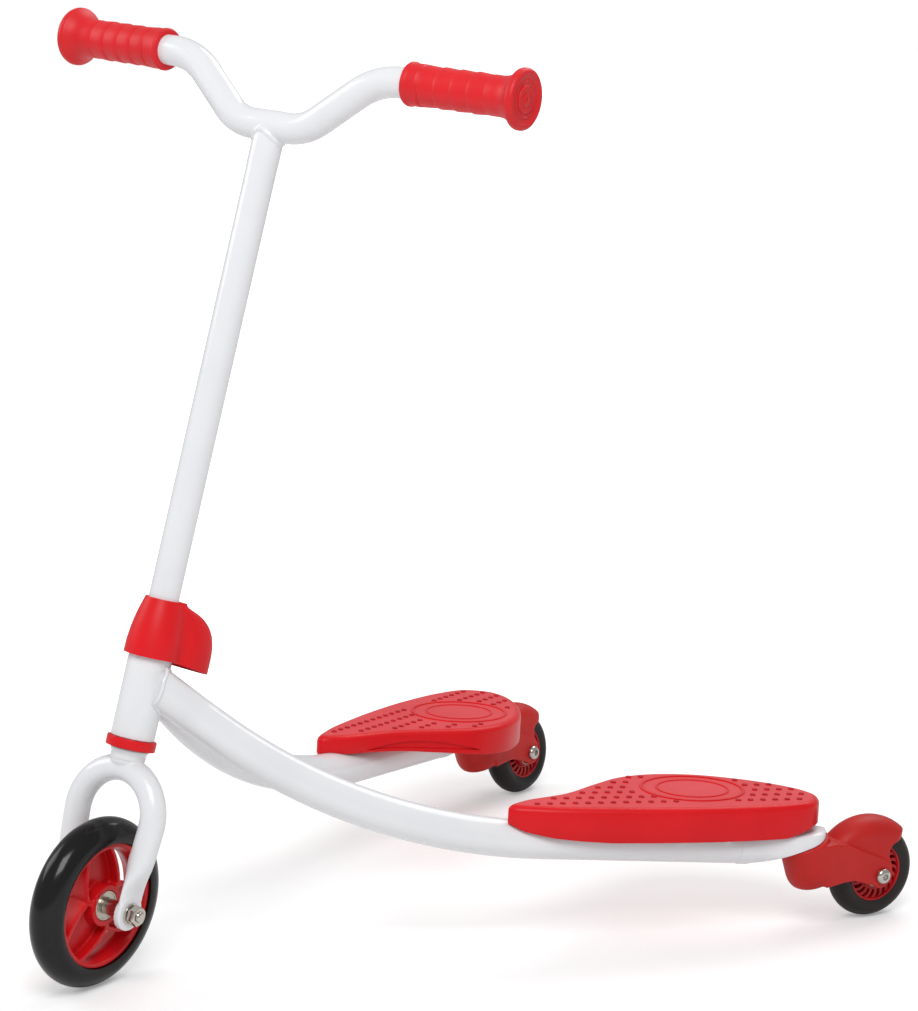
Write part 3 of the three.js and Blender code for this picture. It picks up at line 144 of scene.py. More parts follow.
def turned(name, profile, sides=96, bevel=0.0):
    """A round piece about z: a circle extruded and scaled along [radius, height] points in mm."""
    bpy.ops.object.select_all(action="DESELECT")
    radius, height = profile[0]
    bpy.ops.mesh.primitive_circle_add(vertices=sides, radius=radius * mm, location=(0, 0, height * mm))
    piece = bpy.context.object
    piece.name = name
    bpy.ops.object.transform_apply(location=True, rotation=True, scale=True)
    bpy.ops.object.mode_set(mode="EDIT")
    bpy.ops.mesh.select_all(action="SELECT")
    for (r0, h0), (r1, h1) in zip(profile, profile[1:]):
        bpy.ops.mesh.extrude_region_move(TRANSFORM_OT_translate={"value": (0, 0, (h1 - h0) * mm)})
        if r1 != r0:
            grow = r1 / r0
            bpy.ops.transform.resize(value=(grow, grow, 1), center_override=(0, 0, h1 * mm))
    bpy.ops.mesh.select_all(action="SELECT")
    bpy.ops.mesh.remove_doubles(threshold=0.002 * mm)
    bpy.ops.mesh.fill_holes(sides=0)
    bpy.ops.mesh.select_all(action="SELECT")
    bpy.ops.mesh.normals_make_consistent(inside=False)
    bpy.ops.object.mode_set(mode="OBJECT")
    if bevel:
        soften(piece, bevel)
    return piece


def soften(piece, width, segments=3, angle=30):
    """Rounds a piece's sharp edges by a width in mm."""
    bpy.context.view_layer.objects.active = piece
    bpy.ops.object.modifier_add(type="BEVEL")
    edge = piece.modifiers[-1]
    edge.width = width * mm
    edge.segments = segments
    edge.limit_method = "ANGLE"
    edge.angle_limit = math.radians(angle)
    edge.harden_normals = False
    bpy.ops.object.modifier_apply(modifier=edge.name)


def settle(piece, place, body, finish, nodes=(), angle=40):
    """Puts a finished piece in its place with its finish, and says what it moves with."""
    bpy.ops.object.select_all(action="DESELECT")
    piece.select_set(True)
    bpy.context.view_layer.objects.active = piece
    piece.matrix_world = place
    bpy.ops.object.transform_apply(location=True, rotation=True, scale=True)
    bpy.ops.object.shade_smooth_by_angle(angle=math.radians(angle))
    piece.data.materials.clear()
    piece.data.materials.append(finish)
    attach(piece, body)
    if nodes:
        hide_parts(*nodes)
    return piece


def surface(name, colour, shade, grain, roughness, bump, metallic=0.0, coat=0.0, gleam=0.5):
    """A finish whose colour drifts between two close tones, with a fine grain in gloss and relief."""
    material = bpy.data.materials.new(name)
    material.use_nodes = True
    nodes, links = material.node_tree.nodes, material.node_tree.links
    shader = nodes["Principled BSDF"]
    shader.inputs["Metallic"].default_value = metallic
    shader.inputs["Specular IOR Level"].default_value = gleam
    shader.inputs["Coat Weight"].default_value = coat
    shader.inputs["Coat Roughness"].default_value = 0.08
    place = nodes.new("ShaderNodeTexCoord")
    patches = nodes.new("ShaderNodeTexNoise")
    patches.inputs["Scale"].default_value = 18
    patches.inputs["Detail"].default_value = 4
    tones = nodes.new("ShaderNodeValToRGB")
    tones.color_ramp.elements[0].position = 0.35
    tones.color_ramp.elements[0].color = (*shade, 1)
    tones.color_ramp.elements[1].position = 0.65
    tones.color_ramp.elements[1].color = (*colour, 1)
    fine = nodes.new("ShaderNodeTexNoise")
    fine.inputs["Scale"].default_value = grain
    fine.inputs["Detail"].default_value = 3
    gloss = nodes.new("ShaderNodeMapRange")
    gloss.inputs["To Min"].default_value = roughness[0]
    gloss.inputs["To Max"].default_value = roughness[1]
    relief = nodes.new("ShaderNodeBump")
    relief.inputs["Strength"].default_value = bump
    relief.inputs["Distance"].default_value = 0.1 * mm
    links.new(place.outputs["Object"], patches.inputs["Vector"])
    links.new(place.outputs["Object"], fine.inputs["Vector"])
    links.new(patches.outputs[0], tones.inputs["Fac"])
    links.new(tones.outputs["Color"], shader.inputs["Base Color"])
    links.new(fine.outputs[0], gloss.inputs["Value"])
    links.new(gloss.outputs[0], shader.inputs["Roughness"])
    links.new(fine.outputs[0], relief.inputs["Height"])
    links.new(relief.outputs["Normal"], shader.inputs["Normal"])
    return material


head = axes_at(front_axle, joints["steer"]["axis"], (0, 1, 0))
white_paint = surface("white_gloss_paint", (0.78, 0.79, 0.81), (0.75, 0.76, 0.785), 320, (0.17, 0.25), 0.10, coat=0.3, gleam=0.4)
red_plastic = surface("red_moulded_plastic", (0.71, 0.010, 0.015), (0.65, 0.008, 0.012), 900, (0.34, 0.46), 0.18, gleam=0.22)
head_tube_profile = [(13.7, 120.5), (15.9, 120.5), (15.9, 182.5), (13.7, 182.5), (13.7, 120.5)]
head_tube = turned("head_tube_painted", head_tube_profile, bevel=0.4)
settle(head_tube, head, "frame", white_paint, ["head_tube"])
cup_profile = [(13.0, 118.7), (13.0, 120.2), (18.0, 120.2), (18.0, 113.0), (16.5, 113.0), (16.5, 118.7), (13.0, 118.7)]
lower_cup = turned("lower_cup_rim", cup_profile, bevel=0.6)
settle(lower_cup, head, "frame", red_plastic, ["lower_headset_cup"])

# Steering bearings and the top cup. Plain ground steel rings that sit deep in the head tube's
# ends, hidden by the cover and the fork's neck, so they keep the shape of the solid model.
ground_steel = surface("ground_steel", (0.42, 0.40, 0.37), (0.35, 0.33, 0.30), 700, (0.22, 0.36), 0.15, metallic=1.0)
for name in ("upper_headset_cup", "lower_headset_bearing", "upper_headset_bearing"):
    node = frame["nodes"][name]
    node.data.materials.clear()
    node.data.materials.append(ground_steel)

# Fork. One steel tube is bent to an arch over the wheel, pressed flat at its two ends, and a neck
# is welded on top of it. The weld and the flattening stay visible under the gloss paint.
steering = axes_at(front_axle, joints["steer"]["axis"], joints["front_wheel_spin"]["axis"])
fork_tube_radius = 9.5
fork_arch_radius = 34.7
fork_arch_height = 63.3
fork_tip_offset = 30.75
fork_tip_radius = 12.6
fork_tip_thickness = 5.5
# Heights over the axle on the way up one leg, with the half thickness and half width there
fork_leg_stations = [
    (2, 2.75, 12.0), (12, 2.75, 12.3), (17, 3.1, 12.2), (22, 4.6, 11.6), (27, 6.6, 10.6),
    (32, 8.4, 9.9), (38, 9.4, 9.5), (50, 9.5, 9.5), (63.3, 9.5, 9.5),
]


def leg_offset(height):
    share = min(max((height - 14) / (fork_arch_height - 14), 0), 1)
    return fork_tip_offset + (fork_arch_radius - fork_tip_offset) * share


bpy.ops.object.select_all(action="DESELECT")
start_height, half_thick, half_wide = fork_leg_stations[0]
bpy.ops.mesh.primitive_circle_add(vertices=48, radius=1 * mm, location=(0, -leg_offset(start_height) * mm, start_height * mm))
fork = bpy.context.object
fork.name = "fork_painted"
bpy.ops.object.transform_apply(location=True, rotation=True, scale=True)
bpy.ops.object.mode_set(mode="EDIT")
bpy.ops.mesh.select_all(action="SELECT")


def ring_centre(side, height):
    return (0, side * leg_offset(height) * mm, height * mm)


bpy.ops.transform.resize(value=(half_wide, half_thick, 1), center_override=ring_centre(-1, start_height))
stations = fork_leg_stations
for (h0, t0, w0), (h1, t1, w1) in zip(stations, stations[1:]):
    move = (0, -(leg_offset(h1) - leg_offset(h0)) * mm, (h1 - h0) * mm)
    bpy.ops.mesh.extrude_region_move(TRANSFORM_OT_translate={"value": move})
    bpy.ops.transform.resize(value=(w1 / w0, t1 / t0, 1), center_override=ring_centre(-1, h1))
bpy.ops.mesh.spin(steps=24, angle=math.radians(180), center=(0, 0, fork_arch_height * mm), axis=(1, 0, 0))
for (h0, t0, w0), (h1, t1, w1) in zip(stations[::-1], stations[::-1][1:]):
    move = (0, (leg_offset(h1) - leg_offset(h0)) * mm, (h1 - h0) * mm)
    bpy.ops.mesh.extrude_region_move(TRANSFORM_OT_translate={"value": move})
    bpy.ops.transform.resize(value=(w1 / w0, t1 / t0, 1), center_override=ring_centre(1, h1))
bpy.ops.mesh.select_all(action="SELECT")
bpy.ops.mesh.fill_holes(sides=0)
bpy.ops.mesh.select_all(action="SELECT")
bpy.ops.mesh.normals_make_consistent(inside=False)
bpy.ops.object.mode_set(mode="OBJECT")


def joined(name, *pieces):
    """Several closed pieces kept as one object."""
    bpy.ops.object.select_all(action="DESELECT")
    for piece in pieces:
        piece.select_set(True)
    bpy.context.view_layer.objects.active = pieces[0]
    bpy.ops.object.join()
    pieces[0].name = name
    return pieces[0]


def melted(piece, grid, smoothing, keep=1.0):
    """Runs overlapping closed pieces into one skin with soft inner corners, on a grid in mm."""
    bpy.context.view_layer.objects.active = piece
    bpy.ops.object.modifier_add(type="REMESH")
    skin = piece.modifiers[-1]
    skin.mode = "VOXEL"
    skin.voxel_size = grid * mm
    bpy.ops.object.modifier_apply(modifier=skin.name)
    bpy.ops.object.modifier_add(type="SMOOTH")
    relax = piece.modifiers[-1]
    relax.factor = 0.5
    relax.iterations = smoothing
    bpy.ops.object.modifier_apply(modifier=relax.name)
    if keep < 1:
        bpy.ops.object.modifier_add(type="DECIMATE")
        fewer = piece.modifiers[-1]
        fewer.ratio = keep
        bpy.ops.object.modifier_apply(modifier=fewer.name)
    return piece


def moved(piece, place):
    """Applies a place to a piece's mesh."""
    bpy.ops.object.select_all(action="DESELECT")
    piece.select_set(True)
    bpy.context.view_layer.objects.active = piece
    piece.matrix_world = place
    bpy.ops.object.transform_apply(location=True, rotation=True, scale=True)
    return piece


across = Matrix.Rotation(math.radians(-90), 4, "X")
tips = []
for side in (-1, 1):
    tip_ends = [(fork_tip_radius, -fork_tip_thickness / 2), (fork_tip_radius, fork_tip_thickness / 2)]
    tip = turned("fork_tip", tip_ends, sides=48)
    tips.append(moved(tip, Matrix.Translation((0, side * fork_tip_offset * mm, 0)) @ across))
neck_profile = [
    (6.0, 98.0), (9.6, 99.6), (11.5, 102.0), (12.2, 105.0), (12.5, 108.0), (13.2, 110.2), (14.2, 111.8), (14.4, 112.6),
]
neck = turned("fork_neck", neck_profile)
fork = joined("fork_painted", fork, neck, *tips)
melted(fork, 0.7, smoothing=10, keep=0.6)
steerer = turned("fork_steerer", [(12.7, 105.0), (12.7, 186.0)], sides=48)
fork = joined("fork_painted", fork, steerer)
settle(fork, steering, "steering", white_paint, ["fork"], angle=60)

# Front wheel. A solid glossy black tyre sits on a red moulded hub with three deep Y-shaped
# spokes, which turns on two ball bearings pressed into its boss.
wheel_place = steering @ across
black_tyre = surface("black_tyre", (0.009, 0.008, 0.008), (0.005, 0.005, 0.005), 500, (0.13, 0.20), 0.10, gleam=0.28)
tyre_section_radius = 13.2
tyre_section_centre = front_tyre_radius / mm - tyre_section_radius
tyre_seat_radius = 46.3
seat_angle = math.acos((tyre_seat_radius - tyre_section_centre) / tyre_section_radius)
section_steps = 36
tyre_profile = []
for step in range(section_steps + 1):
    angle = -seat_angle + 2 * seat_angle * step / section_steps
    tyre_profile.append((
        tyre_section_centre + tyre_section_radius * math.cos(angle),
        tyre_section_radius * math.sin(angle),
    ))
tyre_profile.append(tyre_profile[0])
front_tyre = turned("front_tyre_rubber", tyre_profile, sides=160)
settle(front_tyre, wheel_place, "front_wheel", black_tyre, ["front_tyre"])

hub_plastic = surface("red_hub_plastic", (0.58, 0.006, 0.010), (0.50, 0.005, 0.008), 900, (0.26, 0.36), 0.14, gleam=0.28)
hub_half = 11.0
rim_outer = 46.0
rim_lip = 42.8
rim_waist = 39.4
web_half = 1.6
rim_profile = [
    (rim_lip, -hub_half), (rim_outer, -hub_half), (rim_outer, hub_half), (rim_lip, hub_half),
    (rim_waist, web_half), (rim_waist, -web_half), (rim_lip, -hub_half),
]
rim = turned("front_rim", rim_profile, sides=128)
boss = turned("front_boss", [(15.2, -hub_half), (15.2, hub_half)], sides=64)


def prism(name, outline, low, high):
    """A flat outline of [x, y] points in mm, filled and extruded from low to high."""
    bpy.ops.object.select_all(action="DESELECT")
    bpy.ops.mesh.primitive_circle_add(vertices=len(outline), radius=1 * mm, fill_type="NGON")
    piece = bpy.context.object
    piece.name = name
    for vertex, (x, y) in zip(piece.data.vertices, outline):
        vertex.co = (x * mm, y * mm, low * mm)
    bpy.ops.object.mode_set(mode="EDIT")
    bpy.ops.mesh.select_all(action="SELECT")
    bpy.ops.mesh.extrude_region_move(TRANSFORM_OT_translate={"value": (0, 0, (high - low) * mm)})
    bpy.ops.mesh.select_all(action="SELECT")
    bpy.ops.mesh.normals_make_consistent(inside=False)
    bpy.ops.object.mode_set(mode="OBJECT")
    return piece


def polar(radius, degrees):
    angle = math.radians(degrees)
    return (radius * math.cos(angle), radius * math.sin(angle))


def arm_line(way, spread, bow=2.2, steps=10):
    """The middle line of one arm of a Y: from the fork of the Y to the rim, bowed into the Y."""
    start, end = Vector(polar(18.6, way)), Vector(polar(42.6, way + spread))
    across_arm = (end - start).orthogonal().normalized()
    if across_arm.dot(Vector(polar(1, way))) < 0:
        across_arm = -across_arm
    line = []
    for step in range(steps + 1):
        t = step / steps
        line.append(start.lerp(end, t) + across_arm * (bow * 4 * t * (1 - t)))
    return line


def rib(name, line, thick, half_tall):
    """An upright wall along a line of the wheel's plane, sizes in mm."""
    sides = ([], [])
    for index, place in enumerate(line):
        way = (line[min(index + 1, len(line) - 1)] - line[max(index - 1, 0)]).normalized()
        flank = Vector((-way.y, way.x)) * (thick / 2)
        sides[0].append(place + flank)
        sides[1].append(place - flank)
    return prism(name, sides[0] + sides[1][::-1], -half_tall, half_tall)


web = turned("front_web", [(rim_waist + 2, -web_half), (rim_waist + 2, web_half)], sides=96)
ribs, windows = [], []
for spoke in range(3):
    way = -(176 + 120 * spoke)
    root = [Vector(polar(radius, way)) for radius in (13, 16, 19.4)]
    ribs.append(rib("spoke_root", root, 4.4, 9.8))
    left_arm, right_arm = arm_line(way, -44), arm_line(way, 44)
    ribs += [rib("spoke_arm", left_arm, 3.0, 9.8), rib("spoke_arm", right_arm, 3.0, 9.8)]
    outer_arc = [Vector(polar(42.6, way - 44 + 8 * k)) for k in range(1, 11)]
    windows.append(prism("window", left_arm + outer_arc + right_arm[::-1][:-1], -6, 6))


def carve(piece, *cutters, keep_common=False):
    """Cuts closed pieces out of another, or keeps only what it shares with them."""
    for cutter in cutters:
        bpy.context.view_layer.objects.active = piece
        bpy.ops.object.modifier_add(type="BOOLEAN")
        tool = piece.modifiers[-1]
        tool.operation = "INTERSECT" if keep_common else "DIFFERENCE"
        tool.solver = "EXACT"
        tool.object = cutter
        bpy.ops.object.modifier_apply(modifier=tool.name)
        bpy.data.objects.remove(cutter)
    return piece


carve(web, *windows)
front_hub = joined("front_hub_moulded", rim, boss, web, *ribs)
melted(front_hub, 0.6, smoothing=4)
pockets = turned("bearing_bore", [(11.3, -hub_half - 4), (11.3, -3.7), (9.2, -3.7), (9.2, 3.7), (11.3, 3.7), (11.3, hub_half + 4)], sides=64)
carve(front_hub, pockets)
settle(front_hub, wheel_place, "front_wheel", hub_plastic, ["front_hub"], angle=35)

# Ball bearings of the wheels. Each is an outer and an inner ring of bright ground steel with a
# pressed, slightly sunk shield between them.
shield_steel = surface("bearing_shield", (0.55, 0.50, 0.43), (0.45, 0.41, 0.35), 600, (0.24, 0.34), 0.1, metallic=1.0)


def ball_bearing(name, inner_face, outer_face, place, body, node):
    way = 1 if outer_face > inner_face else -1
    profile = [
        (4.0, inner_face), (11.0, inner_face), (11.0, outer_face - 0.4 * way), (10.6, outer_face),
        (9.7, outer_face), (9.5, outer_face - 0.5 * way), (6.2, outer_face - 0.5 * way),
        (6.0, outer_face), (4.4, outer_face), (4.0, outer_face - 0.4 * way), (4.0, inner_face),
    ]
    piece = turned(name, profile, sides=64)
    settle(piece, place, body, shield_steel, [node], angle=30)


for side, name in ((-1, "left"), (1, "right")):
    ball_bearing(f"front_{name}_ball_bearing", side * 4, side * 11, wheel_place, "front_wheel", f"front_{name}_bearing")

# Front axle. A zinc plated bolt through the fork's flat tips, with a washer on each outer face, a
# six-sided nut on the rider's left and bright spacer sleeves between the fork and the bearings.
zinc = surface("zinc_plate", (0.66, 0.63, 0.57), (0.56, 0.53, 0.47), 400, (0.16, 0.28), 0.12, metallic=1.0)
fork_inner = fork_tip_offset - fork_tip_thickness / 2
fork_outer = fork_tip_offset + fork_tip_thickness / 2
washer_low = fork_outer + 0.3
washer_high = washer_low + 1.2
nut_low = washer_high + 0.3
nut_high = nut_low + 6.5


def hex_piece(name, low, high, bore=None):
    """A six-sided nut or bolt head, its corners rounded off at both ends as a turned one's are."""
    corner = 13 / math.sqrt(3)
    piece = turned(name, [(corner, low), (corner, high)], sides=6)
    dome_profile = [(corner - 1.2, low), (corner + 0.1, low + 0.9), (corner + 0.1, high - 0.9), (corner - 1.2, high)]
    dome = turned("nut_dome", dome_profile, sides=48)
    carve(piece, dome, keep_common=True)
    if bore:
        carve(piece, turned("nut_bore", [(bore, low - 2), (bore, high + 2)], sides=48))
    soften(piece, 0.2, segments=2)
    return piece


nut = hex_piece("front_nut", -nut_high, -nut_low, bore=4.0)
settle(nut, wheel_place, "steering", zinc, ["front_axle_nut"], angle=30)
bolt_profile = [(2.9, -nut_high - 2.5), (3.7, -nut_high - 1.7)]
thread_turns = 7
for turn_index in range(thread_turns):
    height = -nut_high - 1.5 + turn_index * 1.25
    bolt_profile += [(3.7, height), (3.3, height + 0.6)]
bolt_profile += [(3.7, -nut_low + 1.5), (3.7, nut_low + 0.5)]
bolt_shank = turned("front_bolt_shank", bolt_profile, sides=48)
bolt_head = hex_piece("front_bolt_head", nut_low, nut_high)
front_bolt = joined("front_bolt", bolt_shank, bolt_head)
settle(front_bolt, wheel_place, "steering", zinc, ["front_axle_bolt"], angle=30)
for side, name in ((-1, "left"), (1, "right")):
    ends = sorted((side * washer_low, side * washer_high))
    washer_profile = [(4.1, ends[0]), (8.0, ends[0]), (8.0, ends[1]), (4.1, ends[1]), (4.1, ends[0])]
    washer = turned(f"{name}_washer", washer_profile, sides=64, bevel=0.25)
    settle(washer, wheel_place, "steering", zinc, [f"{name}_axle_washer"])
    ends = sorted((side * (hub_half + 0.3), side * (fork_inner - 0.3)))
    sleeve_profile = [(4.0, ends[0]), (6.0, ends[0]), (6.0, ends[1]), (4.0, ends[1]), (4.0, ends[0])]
    sleeve = turned(f"{name}_spacer", sleeve_profile, sides=64, bevel=0.3)
    settle(sleeve, wheel_place, "steering", zinc, [f"{name}_axle_spacer"])
inner_spacer = frame["nodes"]["front_inner_spacer"]
inner_spacer.data.materials.clear()
inner_spacer.data.materials.append(zinc)

# Stem and crossbar. White painted steel tubes: the bar is bent from one length, low in the middle
# and swept up to the grips, and the stem is coped to it and welded all round.


def bent_tube(name, corners, bends, radius, sides=64, steps=14):
    """A tube through corner points in mm: extruded along each run and spun round each bend."""
    points = [Vector(corner) for corner in corners]
    way = (points[1] - points[0]).normalized()
    bpy.ops.object.select_all(action="DESELECT")
    bpy.ops.mesh.primitive_circle_add(
        vertices=sides,
        radius=radius * mm,
        location=points[0] * mm,
        rotation=way.to_track_quat("Z", "Y").to_euler(),
    )
    tube = bpy.context.object
    tube.name = name
    bpy.ops.object.transform_apply(location=True, rotation=True, scale=True)
    bpy.ops.object.mode_set(mode="EDIT")
    bpy.ops.mesh.select_all(action="SELECT")
    at = points[0]
    for corner, after, bend in zip(points[1:-1], points[2:], bends):
        back = (at - corner).normalized()
        on = (after - corner).normalized()
        half_angle = back.angle(on) / 2
        run = corner + back * (bend / math.tan(half_angle))
        centre = corner + (back + on).normalized() * (bend / math.sin(half_angle))
        bpy.ops.mesh.extrude_region_move(TRANSFORM_OT_translate={"value": (run - at) * mm})
        bpy.ops.mesh.spin(
            steps=steps,
            angle=-(math.pi - 2 * half_angle),
            center=centre * mm,
            axis=on.cross(back).normalized(),
        )
        at = corner + on * (bend / math.tan(half_angle))
    bpy.ops.mesh.extrude_region_move(TRANSFORM_OT_translate={"value": (points[-1] - at) * mm})
    bpy.ops.mesh.select_all(action="SELECT")
    bpy.ops.mesh.remove_doubles(threshold=0.002 * mm)
    bpy.ops.mesh.fill_holes(sides=0)
    bpy.ops.mesh.select_all(action="SELECT")
    bpy.ops.mesh.normals_make_consistent(inside=False)
    bpy.ops.object.mode_set(mode="OBJECT")
    return tube


bar_radius = 11.1
bar_height = 567.8
bar_corners = [
    (6, -199, 612.7), (0, -83.3, 611.2), (0, -30.3, bar_height),
    (0, 30.3, bar_height), (0, 83.3, 611.2), (6, 199, 612.7),
]
crossbar = bent_tube("crossbar_painted", bar_corners, [55, 39, 39, 55], bar_radius)
settle(crossbar, steering, "steering", white_paint, ["crossbar"])
stem = turned("stem_painted", [(bar_radius, 150), (bar_radius, bar_height - 30)], sides=64)
# The weld: the stem's end and a short sleeve of the bar run together with a bead between them
root_profile = [(10.6, bar_height - 48), (11.0, bar_height - 36), (11.35, bar_height - 26), (11.35, bar_height)]
stem_root = turned("stem_root", root_profile, sides=64)
sleeve = turned("weld_sleeve", [(10.7, -17), (11.1, -14), (11.3, -10), (11.3, 10), (11.1, 14), (10.7, 17)], sides=64)
moved(sleeve, Matrix.Translation((0, 0, bar_height * mm)) @ across)


def bead(name, points, radius, sides=8):
    """A weld bead: a closed round line through points in mm."""
    line = bpy.data.curves.new(name, "CURVE")
    line.dimensions = "3D"
    line.bevel_depth = radius * mm
    line.bevel_resolution = sides // 4
    spline = line.splines.new("POLY")
    spline.points.add(len(points) - 1)
    for item, place in zip(spline.points, points):
        item.co = (*(Vector(place) * mm), 1)
    spline.use_cyclic_u = True
    piece = bpy.data.objects.new(name, line)
    bpy.context.scene.collection.objects.link(piece)
    bpy.ops.object.select_all(action="DESELECT")
    piece.select_set(True)
    bpy.context.view_layer.objects.active = piece
    bpy.ops.object.convert(target="MESH")
    return bpy.context.object


bead_points = []
for step in range(96):
    angle = 2 * math.pi * step / 96
    x = bar_radius * math.cos(angle)
    reach = math.sqrt(bar_radius ** 2 - 0.88 * x ** 2)
    ripple = 0.15 * math.sin(24 * angle)
    bead_points.append((x * 1.01, bar_radius * 1.03 * math.sin(angle), bar_height - reach - 0.6 + ripple))
weld = joined("stem_weld", stem_root, sleeve, bead("weld_bead", bead_points, 1.8))
melted(weld, 0.5, smoothing=14)
stem = joined("stem_painted", stem, weld)
settle(stem, steering, "steering", white_paint, ["stem"], angle=50)

# Grips. Soft red moulded rubber pushed on the bar's ends, with a collar at the inner end, shallow
# rings to hold and a wide round end plate with plain rings.
grip_rubber = surface("red_grip_rubber", (0.70, 0.012, 0.018), (0.63, 0.010, 0.015), 1100, (0.40, 0.52), 0.2, gleam=0.35)
grip_shortening = 0.936
grip_profile = [
    (11.4, 0.0), (14.2, 0.0), (15.2, 0.5), (15.6, 1.6), (15.6, 3.4), (15.1, 4.4), (14.9, 5.4),
    (15.0, 12.0), (14.9, 13.2), (14.1, 13.9),
]
for rib in range(4):
    start = 14.4 + 14.4 * rib
    grip_profile += [(13.9, start), (14.5, start + 0.7), (14.7, start + 1.6), (14.4, start + 7.0), (14.0, start + 13.4)]
grip_profile += [
    (13.9, 72.4), (14.3, 73.2), (14.2, 80.0), (14.6, 84.0), (15.6, 87.6), (17.4, 91.0), (19.6, 93.6), (20.9, 94.8),
    (21.5, 96.4), (21.5, 98.6), (20.9, 100.2), (19.7, 101.2), (18.4, 101.5), (17.4, 101.2), (16.6, 100.4),
    (13.2, 100.0), (12.8, 100.5), (12.2, 100.6), (11.8, 100.1), (9.9, 100.0), (9.5, 100.7), (9.0, 101.1),
    (6.4, 101.3), (6.0, 100.9), (5.6, 100.8), (5.2, 101.2), (1.6, 101.4), (1.2, 100.7), (0.5, 100.6),
]
for name, end, before in (("left", bar_corners[0], bar_corners[1]), ("right", bar_corners[-1], bar_corners[-2])):
    outward = (Vector(end) - Vector(before)).normalized()
    start = Vector(end) + outward * (5.6 - 101.5 * grip_shortening)
    grip_place = steering @ Matrix.Translation(start * mm) @ outward.to_track_quat("Z", "Y").to_matrix().to_4x4()
    lengthwise = [(radius, height * grip_shortening) for radius, height in grip_profile]
    grip = turned(f"{name}_grip_rubber", lengthwise, sides=96)
    settle(grip, grip_place, "steering", grip_rubber, [f"{name}_grip"], angle=50)

# Clamp collar, its bolt and the head cover. The red moulded cover snaps over the clamp: a cone
# round the stem, a waist, and a wide domed lobe behind it.
for name, finish in (("clamp_collar", ground_steel), ("clamp_bolt", zinc)):
    node = frame["nodes"][name]
    node.data.materials.clear()
    node.data.materials.append(finish)
cover_lobe = [(0.20, -0.5), (0.31, 0.1), (0.42, 0.9), (0.70, 1), (0.88, 0.93), (0.96, 0.72), (1, 0.3)]
# Height in mm, front radius, reach behind the axis and half width of the lobe
cover_levels = [
    (180.0, 20.4, 45.3, 25.6), (185.0, 20.4, 45.5, 25.6), (191.8, 20.1, 45.7, 25.4), (203.5, 18.6, 43.8, 23.2),
    (213.2, 16.2, 35.2, 18.8), (217.8, 14.8, 21.0, 15.6), (219.6, 14.3, 14.6, 14.4), (222.0, 13.6, 13.6, 13.6),
]


def cover_ring(level, front_radius, reach, half_width, slope):
    ring = []
    for step in range(9):
        angle = math.radians(90 + 180 * step / 8)
        ring.append((front_radius * math.cos(angle), front_radius * math.sin(angle)))
    lobe = []
    for index, (reach_share, width_share) in enumerate(cover_lobe):
        inner = front_radius if index < 3 else 0
        lobe.append((reach_share * reach, inner + (half_width - inner) * width_share))
    ring += [(x, -y) for x, y in lobe] + lobe[::-1]
    return [Vector((x, y, level - slope * max(0, x))) * mm for x, y in ring]


def lofted(name, rings, caps=True):
    """A skin over rings of equally many points."""
    count = len(rings[0])
    points = [point for ring in rings for point in ring]
    faces = []
    for index in range(len(rings) - 1):
        for k in range(count):
            a, b = index * count + k, index * count + (k + 1) % count
            faces.append((a, b, b + count, a + count))
    if caps:
        faces.append(tuple(range(count))[::-1])
        faces.append(tuple(range(len(points) - count, len(points))))
    mesh = bpy.data.meshes.new(name)
    mesh.from_pydata(points, [], faces)
    piece = bpy.data.objects.new(name, mesh)
    bpy.context.scene.collection.objects.link(piece)
    bpy.ops.object.select_all(action="DESELECT")
    piece.select_set(True)
    bpy.context.view_layer.objects.active = piece
    bpy.ops.object.mode_set(mode="EDIT")
    bpy.ops.mesh.select_all(action="SELECT")
    bpy.ops.mesh.normals_make_consistent(inside=False)
    bpy.ops.object.mode_set(mode="OBJECT")
    return piece


rear_slope = 7.0 / 48.0
cover_rings = []
for index, (level, front_radius, reach, half_width) in enumerate(cover_levels):
    slope = rear_slope * (1 - index / 2) if index < 2 else 0
    cover_rings.append(cover_ring(level, front_radius, reach, half_width, slope))
head_cover = lofted("head_cover_moulded", cover_rings, caps=False)
bpy.ops.object.modifier_add(type="SUBSURF")
head_cover.modifiers[-1].levels = 3
head_cover.modifiers[-1].render_levels = 3
head_cover.modifiers[-1].boundary_smooth = "PRESERVE_CORNERS"
bpy.ops.object.modifier_apply(modifier=head_cover.modifiers[-1].name)
bpy.ops.object.modifier_add(type="SOLIDIFY")
head_cover.modifiers[-1].thickness = 2.2 * mm
head_cover.modifiers[-1].offset = -1
bpy.ops.object.modifier_apply(modifier=head_cover.modifiers[-1].name)
settle(head_cover, steering, "steering", red_plastic, ["head_cover"], angle=50)

# Legs. Each is one bent white painted steel tube, pressed narrower where it is welded to the back
# of the head tube, and running out and down below the deck to the caster.
leg_radius = 14.3


def squeeze(piece, start_x, end_x, share, line_of):
    """Narrows a tube sideways near its start, about the tube's own middle line."""
    for vertex in piece.data.vertices:
        x = vertex.co.x / mm
        if x < end_x:
            t = min(max((x - start_x) / (end_x - start_x), 0), 1)
            narrow = share + (1 - share) * t
            middle = line_of(x) * mm
            vertex.co.y = middle + (vertex.co.y - middle) * narrow


axis_lean = math.atan2(joints["steer"]["axis"][0], joints["steer"]["axis"][2])
joint_height = 162.2
leg_start = (joint_height * math.sin(axis_lean), 0, 62.5 + joint_height * math.cos(axis_lean))


def leg_corners(side):
    return [
        (leg_start[0], side * 10.9, leg_start[2]),
        (75.6, side * 14.6, 192.4),
        (182.1, side * 71.2, 95.7),
        (451.0, side * 190.8, 69.0),
    ]


